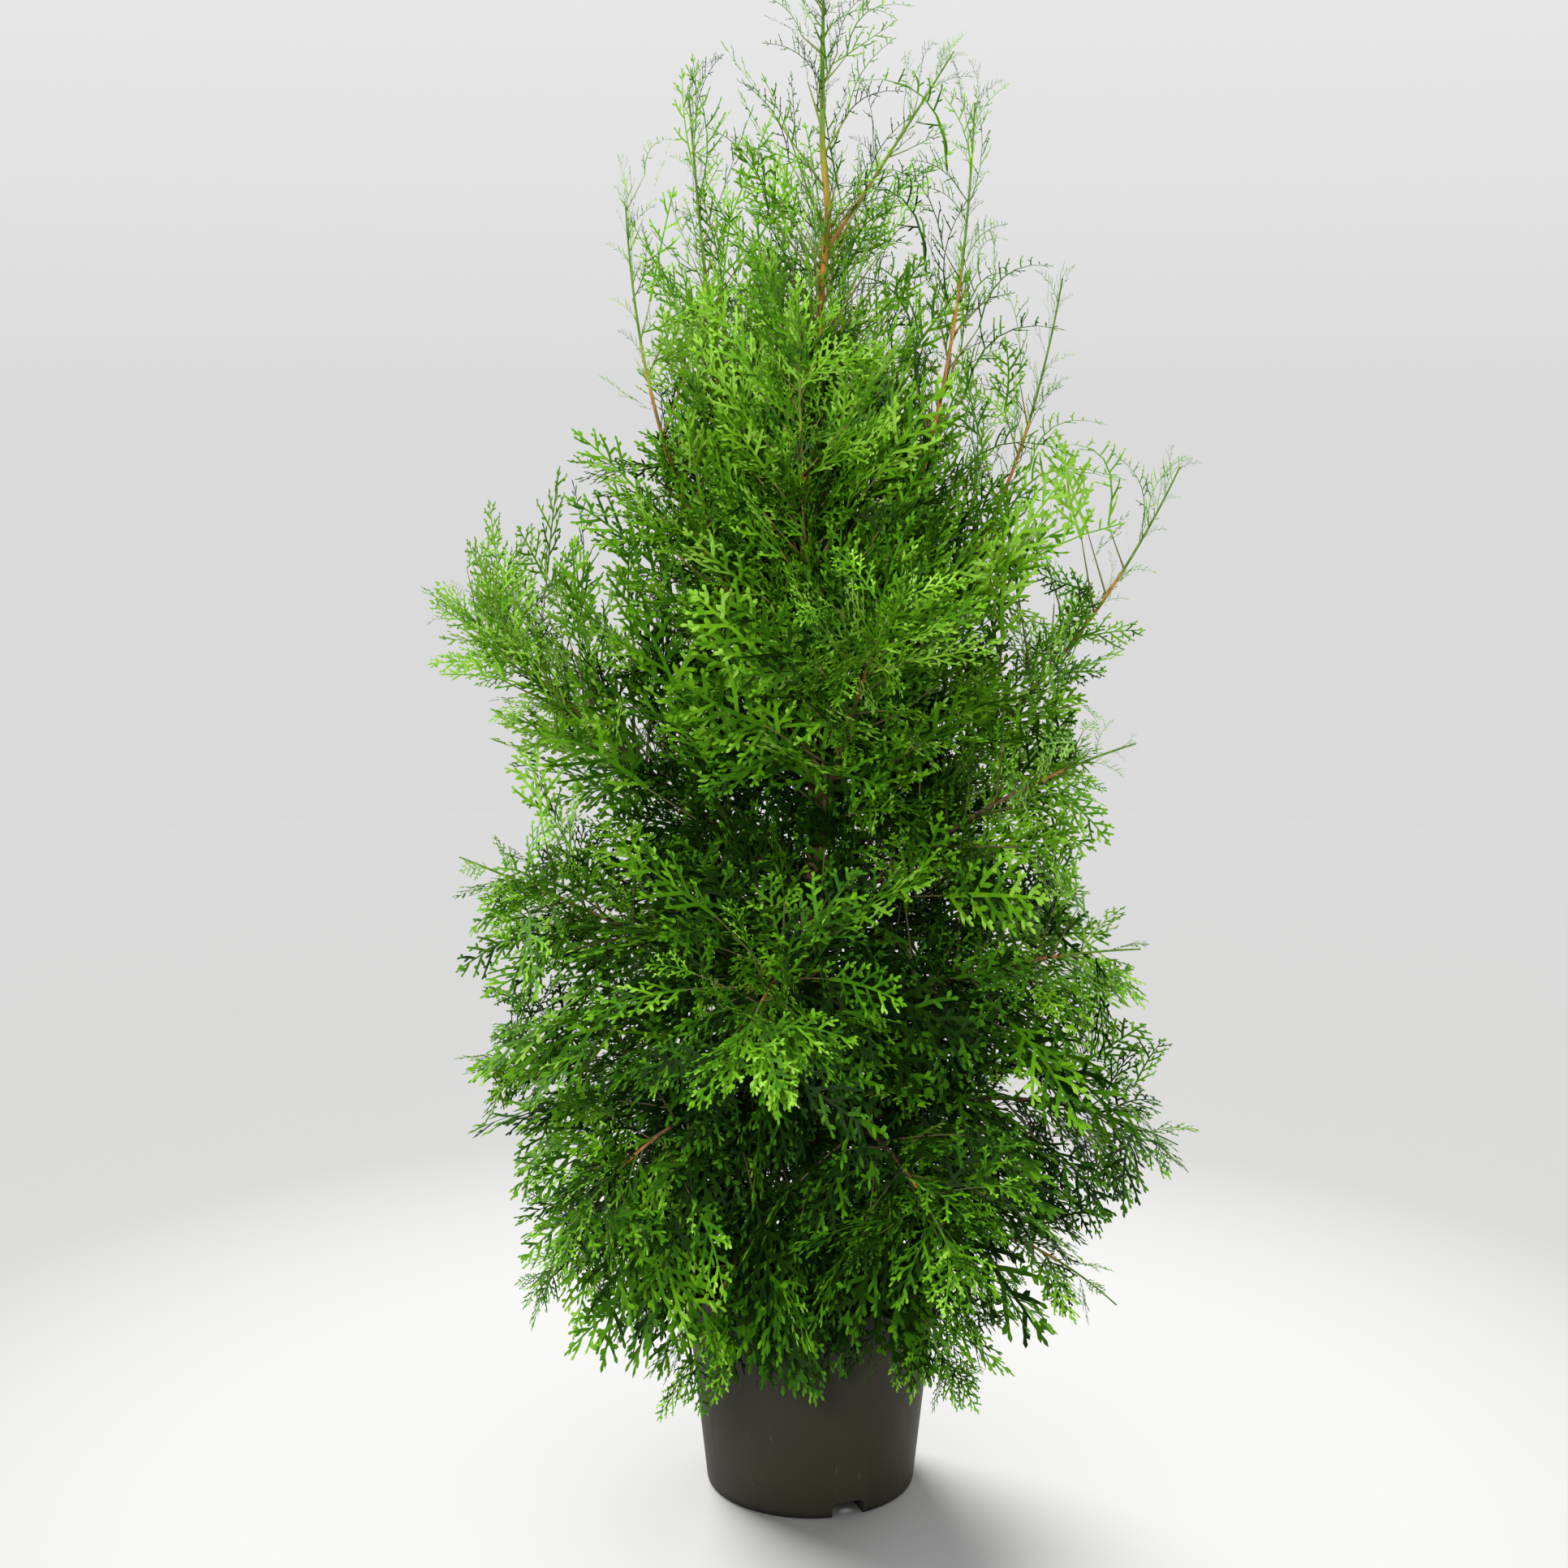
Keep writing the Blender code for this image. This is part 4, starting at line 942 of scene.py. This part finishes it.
class Foliage:
    # places fronds and twigs, and keeps the fronds of each tier apart

    def __init__(self):
        self.rng = random.Random(foliageRule["seed"])
        self.made = {tier: [] for tier in tiers}
        self.twigs = []

    def addTwig(self, points, radii):
        sides = twigRule["sides"]
        rings, side = [], Vector((0.3, 0.2, 1)).normalized()
        for i, (point, radius) in enumerate(zip(points, radii)):
            line = (points[min(i + 1, len(points) - 1)] - points[max(i - 1, 0)]).normalized()
            side = (side - line * side.dot(line)).normalized()
            across = line.cross(side)
            for j in range(sides):
                turn = 2 * math.pi * j / sides
                rings.append(point + (side * math.cos(turn) + across * math.sin(turn)) * radius)
        faces = []
        for i in range(len(points) - 1):
            for j in range(sides):
                a, b = i * sides + j, i * sides + (j + 1) % sides
                faces += [(a, b, b + sides), (a, b + sides, a + sides)]
        last = (len(points) - 1) * sides
        for j in range(1, sides - 1):
            faces += [(0, j + 1, j), (last, last + j, last + j + 1)]
        self.twigs.append((np.array(rings), np.array(faces)))

    def kindAt(self, point):
        height = point.z + self.rng.gauss(0, kindRule["blur"])
        aloft = ramped(point.z, kindRule["rightHeight"], kindRule["rightRise"])
        rightward = ramped(point.x, kindRule["rightFrom"], kindRule["rightSpan"])
        rightward *= max(kindRule["rightLeast"], aloft)
        upward = max(0.0, (point.z - kindRule["highFrom"]) / kindRule["highSpan"])
        airy = kindRule["arches"] + kindRule["archesRight"] * rightward + kindRule["archesHigh"] * upward
        if height > kindRule["archFrom"] and self.rng.random() < airy:
            return "arch"
        for kind, top in kindRule["heights"]:
            if height < top:
                return kind
        return kindRule["last"]

    def acrossFrond(self, along, face, kind):
        # the direction in which a frond spreads
        across = face.cross(along)
        if across.length < 0.05:
            across = Vector((0, 0, 1)).cross(along)
        across.normalize()
        level = Vector((0, 0, 1)).cross(along)
        if kind != "arch" or level.length <= 0.3:
            return across
        # an arched frond's longer side shoots stand up from it
        across = along.cross(level).normalized() * -1 + across * 0.35 * self.rng.choice((-1, 1))
        across = (across - along * across.dot(along)).normalized()
        return -across if across.z < 0 else across

    def fitted(self, shape, axes, root, length, hang, allowed):
        # the shape in its place, made smaller until it keeps within the crown
        lowest = self.rng.uniform(*foliageRule["lowest"])
        for size in foliageRule["sizes"]:
            local = shape * (length * size / frondRule["nominal"])
            out = np.hypot(local[:, 0], local[:, 1] * 0.8)
            placed = local @ axes + np.array(root)
            placed[:, 2] -= hang * out * out / (length * size)
            over = np.hypot(placed[:, 0], placed[:, 1]) - crownReach(*placed.T) * allowed
            within = lowest <= placed[:, 2].min() and placed[:, 2].max() < foliageRule["highest"]
            if within and over.max() < foliageRule["slack"]:
                return placed
        return None

    def addFrond(self, tier, root, along, face, length, hang, kind, shade=0.0, limited=True):
        # fronds that aren't limited end a limb: they stand out further, and more of them are kept
        shape, faces, offsets = self.rng.choice(fronds[kind])
        along = along.normalized()
        across = self.acrossFrond(along, face, kind)
        arched = kind == "arch"
        flip = 1 if arched else self.rng.choice((-1, 1))
        if limited:
            allowed, spare = self.rng.uniform(*foliageRule["limits"]), 0.0
        else:
            high = ramped(root.z, foliageRule["highFrom"], foliageRule["highSpan"])
            allowed = foliageRule["tipLimit"] + foliageRule["highTipLimit"] * high
            spare = foliageRule["tipsKept"]
        spare += foliageRule["archesKept"] * arched
        axes = np.array((along, across, along.cross(across)))
        placed = self.fitted(shape * np.array((1, flip, 1)), axes, root, length, hang, allowed)
        if placed is None:
            return False
        middle = placed.mean(axis=0)
        if self.rng.random() > density(middle) + spare:
            return False
        if limited and self.inGap(Vector(middle)) and self.rng.random() < gaps["share"]:
            return False
        if not clearOfPot(placed):
            return False
        darker = foliageRule["archShade"] * arched + shade
        tone = self.tone(root + along * length * 0.5) - (self.rng.random() < darker) - arched
        tones = np.clip(tone + offsets, 0, len(leafTones) - 1)
        self.made[tier].append((placed, faces[:, ::flip], tones))
        return True

    def inGap(self, point):
        out = math.hypot(point.x, point.y) / max(reachAt(point), 0.05)
        narrow = max(0.0, point.z - gaps["highFrom"]) * gaps["narrows"]
        hollow = noise.noise(point * gaps["scale"] + Vector((3, 1, 7))) < gaps["below"] - narrow
        return abs(point.x) < gaps["sides"] and out > gaps["from"] and hollow

    def tone(self, point):
        # painted light at the crown's edge and painted shade near the trunk, nearer even high up
        reach = max(reachAt(point), 0.05)
        depth = math.hypot(point.x, point.y) / reach
        high = ramped(point.z, lightRule["highFrom"], lightRule["highSpan"])
        depth += (lightRule["highDepth"] - depth) * high * lightRule["highShare"]
        light = lightRule["outward"] * depth + lightRule["sideways"] * abs(point.x) / reach
        light += noise.noise(point * lightRule["patchScale"]) * lightRule["patchDepth"]
        light += self.rng.gauss(0, lightRule["chance"])
        light += float(np.interp(point.z, lightRule["heights"], lightRule["gains"]))
        return sum(light >= step for step in lightRule["steps"])

    def faceFor(self, point):
        # fronds low down lie flatter, and those high up turn every way
        rng = self.rng
        outward = Vector((point.x, point.y, 0))
        outward = outward.normalized() if outward.length > 0.01 else Vector((0, -1, 0))
        wander = Vector((rng.gauss(0, 1), rng.gauss(0, 1), rng.gauss(0, 1)))
        steep = ramped(point.z, faceRule["steepFrom"], faceRule["steepSpan"])
        upward = Vector((0, 0, faceRule["upward"] * (1 - steep)))
        wander *= faceRule["wander"] + faceRule["highWander"] * steep
        return outward * faceRule["outward"] + upward + wander

    def growTwig(self, limb, share, turn):
        rule, rng = limb.rule, self.rng
        root, line = limb.at(share), limb.heading(share)
        kind = self.kindAt(root)
        arched = kind == "arch"
        lace = arched or kind == "lace"
        spread = math.radians(rule["spread"] + rng.uniform(-twigRule["sway"], twigRule["sway"]))
        heading = line * math.cos(spread) + sideOf(line, turn) * math.sin(spread)
        heading = (heading + Vector((0, 0, rule["lift"]))).normalized()
        length = rule["twigLength"] * (twigRule["size"] - twigRule["shortens"] * share)
        length *= rng.uniform(*twigRule["sizes"])
        length *= twigRule["laceSize"] if lace else 1.0
        sag = Vector((0, 0, -rule["droop"] * length * twigRule["sag"]))

        def along(t):
            return root + heading * length * t + sag * t * t

        ends = (along(1.0) - along(0.8)).normalized()
        face = self.faceFor(along(1.0))
        frond = rule["frond"] * (twigRule["frond"] - twigRule["frondShortens"] * share)
        frond *= rng.uniform(*twigRule["fronds"])
        stretch = rng.uniform(*twigRule["archFronds"]) if arched else twigRule["laceFrond"] if lace else 1.0
        hangs = arched and root.z > twigRule["archHangFrom"]
        hang = rule["hang"] + (foliageRule["archHang"] if hangs else 0.0)
        held = 0.0
        if self.addFrond(limb.tier, along(0.98), ends, face, frond * stretch, hang, kind):
            held = 1.0
        way = rng.choice((-1, 1))
        sides = min(rule["sides"], 1) if lace else rule["sides"]
        for i in range(sides):
            way = -way
            t = twigRule["sideFrom"] + twigRule["sideSpan"] * i / max(1, sides - 1)
            t += rng.uniform(-twigRule["sideSway"], twigRule["sideSway"])
            across = face.cross(heading).normalized() * way
            aim = heading * math.cos(twigRule["sideLean"]) + across * math.sin(twigRule["sideLean"])
            short = frond * rng.uniform(*twigRule["sideFronds"])
            if self.addFrond(limb.tier, along(t), aim, self.faceFor(along(t)), short, rule["hang"], kind,
                             twigRule["sideShade"]):
                held = max(held, t)
        if held:
            # the twig ends where its furthest frond does
            base = min(limb.radius(share) * twigRule["thickness"], twigRule["thickest"])
            steps = twigRule["steps"]
            self.addTwig([along(held * i / steps) for i in range(steps + 1)],
                         [base * (1 - twigRule["thins"] * i) for i in range(steps + 1)])

    def growTwigs(self, limb):
        # twigs that turn round the limb, which gives the turn of the last one
        turn = self.rng.uniform(0, 2 * math.pi)
        count = limb.rule["twigs"]
        for i in range(count):
            turn += math.radians(foliageRule["turn"])
            share = twigRule["from"] + twigRule["span"] * (i + self.rng.uniform(-0.3, 0.3)) / (count - 1)
            self.growTwig(limb, min(max(share, 0.03), 0.97), turn)
        return turn

    def clothe(self, limb, turn):
        # short fronds on the limb itself, thinner far out and high up
        count = int(stemRule["share"] * limb.length() / stemRule["gap"])
        for i in range(count):
            share = stemRule["from"] + stemRule["span"] * (i + self.rng.random()) / count
            root, line = limb.at(share), limb.heading(share)
            turn += math.radians(foliageRule["turn"])
            aim = line * math.cos(stemRule["lean"]) + sideOf(line, turn) * math.sin(stemRule["lean"])
            length = limb.rule["frond"] * stemRule["size"] * self.rng.uniform(*stemRule["sizes"])
            thin = limb.tier in ("leader", "top") and root.z > stemRule["thinFrom"]
            thin = thin or math.hypot(root.x, root.y) > stemRule["thinOut"] * reachAt(root)
            face = self.faceFor(root)
            if thin and root.z > stemRule["archFrom"]:
                kind, size = "arch", stemRule["archSize"]
            else:
                kind, size = self.kindAt(root), stemRule["thinSize"] if thin else 1.0
            self.addFrond(limb.tier, root, aim, face, length * size, limb.rule["hang"], kind,
                          limited=share < stemRule["limitedTo"])

    def endLimb(self, limb):
        # one frond to the limb's tip, and one to either side of it
        for bend, share in endRule["fronds"]:
            root, line = limb.at(share), limb.heading(0.95)
            length = limb.rule["frond"] * endRule["size"]
            if bend:
                aim = line * math.cos(bend) + sideOf(line, math.pi / 2) * math.sin(bend)
            else:
                aim = limb.tip - root
                length = min(max(length, aim.length), endRule["longest"])
            self.addFrond(limb.tier, root, aim, self.faceFor(root), length,
                          limb.rule["hang"] * endRule["hang"], self.kindAt(root), limited=False)

    def growLimb(self, limb):
        turn = self.growTwigs(limb)
        self.clothe(limb, turn)
        self.endLimb(limb)

    def growLeader(self):
        # twigs round the leader, between the boughs that leave it
        rng, turn = self.rng, 0.0
        for twigs, lowest, highest, lengths in leaderRule["sets"]:
            for i in range(twigs):
                share = min(max((i + rng.uniform(-0.3, 0.3)) / (twigs - 1), 0.0), 1.0)
                turn += math.radians(foliageRule["turn"])
                root = trunkPoint(lowest + (highest - lowest) * share)
                bearing = Vector((math.cos(turn), math.sin(turn), 0))
                rise = math.radians(rng.uniform(*leaderRule["rise"]))
                heading = bearing * math.cos(rise) + Vector((0, 0, math.sin(rise)))
                length = (lengths[0] + (lengths[1] - lengths[0]) * share) * rng.uniform(*leaderRule["sizes"])
                self.growLeaderTwig(root, heading, length)

    def growLeaderTwig(self, root, heading, length):
        rng, held = self.rng, 0.0
        for t in leaderRule["frondsAt"]:
            at, aim = root + heading * length * t, heading
            size = leaderRule["frond"] * rng.uniform(*leaderRule["fronds"])
            if t < leaderRule["frondsAt"][-1]:
                side = sideOf(heading, rng.uniform(0, 2 * math.pi))
                aim = (heading + side * leaderRule["sideLean"]).normalized()
                size *= leaderRule["sideSize"]
            if self.addFrond(leaderRule["tier"], at, aim, self.faceFor(at), size, 0.0, self.kindAt(at)):
                held = t
        if held:
            self.addTwig([root + heading * length * held * j / 3 for j in range(4)],
                         [leaderRule["radius"] * (1 - leaderRule["thins"] * j) for j in range(4)])


def joined(name, parts, *materials):
    # one mesh of many small ones
    starts = np.cumsum([0] + [len(part[0]) for part in parts])
    mesh = bpy.data.meshes.new(name)
    faces = np.vstack([part[1] + start for part, start in zip(parts, starts)])
    mesh.from_pydata(np.vstack([part[0] for part in parts]), [], faces)
    if len(materials) > 1:
        tones = np.concatenate([part[2] for part in parts])
        mesh.polygons.foreach_set("material_index", tones.astype(np.int32))
    mesh.update()
    mesh.shade_smooth()
    return addPiece(name, mesh, *materials)


foliage = Foliage()
for limb in limbs:
    foliage.growLimb(limb)
foliage.growLeader()

leafFaces = 0
for tier, made in foliage.made.items():
    faceCount = sum(len(faces) for points, faces, tones in made)
    lots = math.ceil(faceCount / foliageRule["mostFaces"])
    size = math.ceil(len(made) / lots)
    for lot in range(lots):
        sprays = made[lot * size:(lot + 1) * size]
        piece = joined("leaves" + tier.capitalize() + str(lot + 1), sprays, *leafMaterials)
        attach(piece, "root")
        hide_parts(*["foliage_" + limb.name for limb in limbs if limb.tier == tier])
    leafFaces += faceCount
    print("leaves", tier, len(made), "fronds", faceCount, "faces in", lots)
twigs = joined("fineTwigs", foliage.twigs, twigBark)
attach(twigs, "root")
print("leaf faces in all:", leafFaces, " twig faces:", len(twigs.data.polygons))


# Studio: a round pale floor that fades into a pale surround, and soft light

studio = {
    "radius": 5.0, "steps": 96, "glow": 0.685,
    # the floor's paleness by the share of its radius, a painted pool of light that is palest near the plant,
    # and where the glow takes over from it
    "floor": ((0.06, grey(0.462)), (0.15, grey(0.440)), (0.22, grey(0.388)), (0.29, (0.322, 0.322, 0.323)),
              (0.52, (0.310, 0.310, 0.312)), (0.90, grey(0.010))),
    "glowFrom": 0.52, "glowTo": 0.90,
    # the surround's brightness by the height of the line of sight
    "sky": ((0.00, grey(0.700)), (0.04, grey(0.735)), (0.16, grey(0.800)), (1.00, grey(0.830))),
}


def studioMaterial():
    # paper that light falls on near the plant, with a painted pool of light round the plant, and that glows
    # evenly further off
    nodes = finish("studioPaper", 0.9, 0.0)
    flat = nodes.add("Mapping", Vector=nodes.place, Scale=(1, 1, 0)).outputs["Vector"]
    away = nodes.add("VectorMath", operation="LENGTH", Vector=flat).outputs["Value"]
    out = nodes.mapped(away, 0.0, studio["radius"])
    nodes.colour(nodes.ramp(out, studio["floor"]))
    glow = nodes.mask(out, studio["glowFrom"], studio["glowTo"], studio["glow"])
    nodes.feed(nodes.shader.inputs["Emission Color"], glow)
    nodes.shader.inputs["Emission Strength"].default_value = 1.0
    return nodes.owner


def makeFloor():
    bm = bmesh.new()
    bmesh.ops.create_circle(bm, cap_ends=True, segments=studio["steps"], radius=studio["radius"])
    piece = addPiece("studioFloor", meshFrom(bm, "studioFloor"), studioMaterial())
    piece.data.materials[0].cycles.emission_sampling = "NONE"
    return piece


def makeSurround():
    nodes = Nodes(bpy.data.worlds.new("studio"), "Background", "Generated")
    nodes.feed(nodes.shader.inputs["Color"], nodes.ramp(nodes.height(), studio["sky"]))
    bpy.context.scene.world = nodes.owner


lamps = {
    "key": {"kind": "AREA", "place": (-0.5, -3.0, 1.7), "aim": (0, 0, 0.9), "size": 0.6, "power": 110,
            "colour": (1.0, 0.99, 0.96), "lights": "plant"},
    "top": {"kind": "AREA", "place": (-0.4, -0.5, 3.3), "aim": (0, 0, 0.5), "size": 0.8, "power": 30,
            "colour": (1.0, 1.0, 1.0), "lights": "plant"},
    "rimLeft": {"kind": "AREA", "place": (-2.2, 1.1, 1.5), "aim": (0, 0, 0.9), "size": 1.2, "power": 45,
                "colour": (1.0, 1.0, 0.92), "lights": "plant"},
    "rimRight": {"kind": "AREA", "place": (2.2, 1.1, 1.5), "aim": (0, 0, 0.9), "size": 1.2, "power": 45,
                 "colour": (1.0, 1.0, 0.92), "lights": "plant"},
    "floor": {"kind": "SUN", "place": (-1.0, 1.7, 1.5), "aim": (0, 0, 0), "size": 0.72, "power": 6.9,
              "colour": (1.0, 0.99, 0.97), "lights": "floor"},
    "left": {"kind": "SUN", "place": (0.9, 1.4, 1.9), "aim": (0, 0, 0), "size": 0.60, "power": 0.5,
             "colour": (1.0, 1.0, 1.0), "lights": "floor"},
}


def linked(name, pieces):
    collection = bpy.data.collections.new(name)
    for piece in pieces:
        collection.objects.link(piece)
    return collection


def makeLamps(floor):
    plant = [thing for thing in bpy.data.objects if thing.type == "MESH" and thing is not floor]
    for name, rule in lamps.items():
        data = bpy.data.lights.new(name, rule["kind"])
        setattr(data, "angle" if rule["kind"] == "SUN" else "size", rule["size"])
        data.energy = rule["power"]
        data.color = rule["colour"]
        lamp = bpy.data.objects.new(name, data)
        lamp.location = rule["place"]
        sight = Vector(rule["aim"]) - Vector(rule["place"])
        lamp.rotation_euler = sight.to_track_quat("-Z", "Y").to_euler()
        bpy.context.scene.collection.objects.link(lamp)
        # the floor's light casts the pot's shadow alone, and the plant's light leaves the floor be
        lit, shading = ([floor], [nurseryPot]) if rule["lights"] == "floor" else (plant, plant)
        lamp.light_linking.receiver_collection = linked(name + "Lights", lit)
        lamp.light_linking.blocker_collection = linked(name + "Shadows", shading)
        lamp.visible_camera = False


makeSurround()
makeLamps(makeFloor())
print("studio made")

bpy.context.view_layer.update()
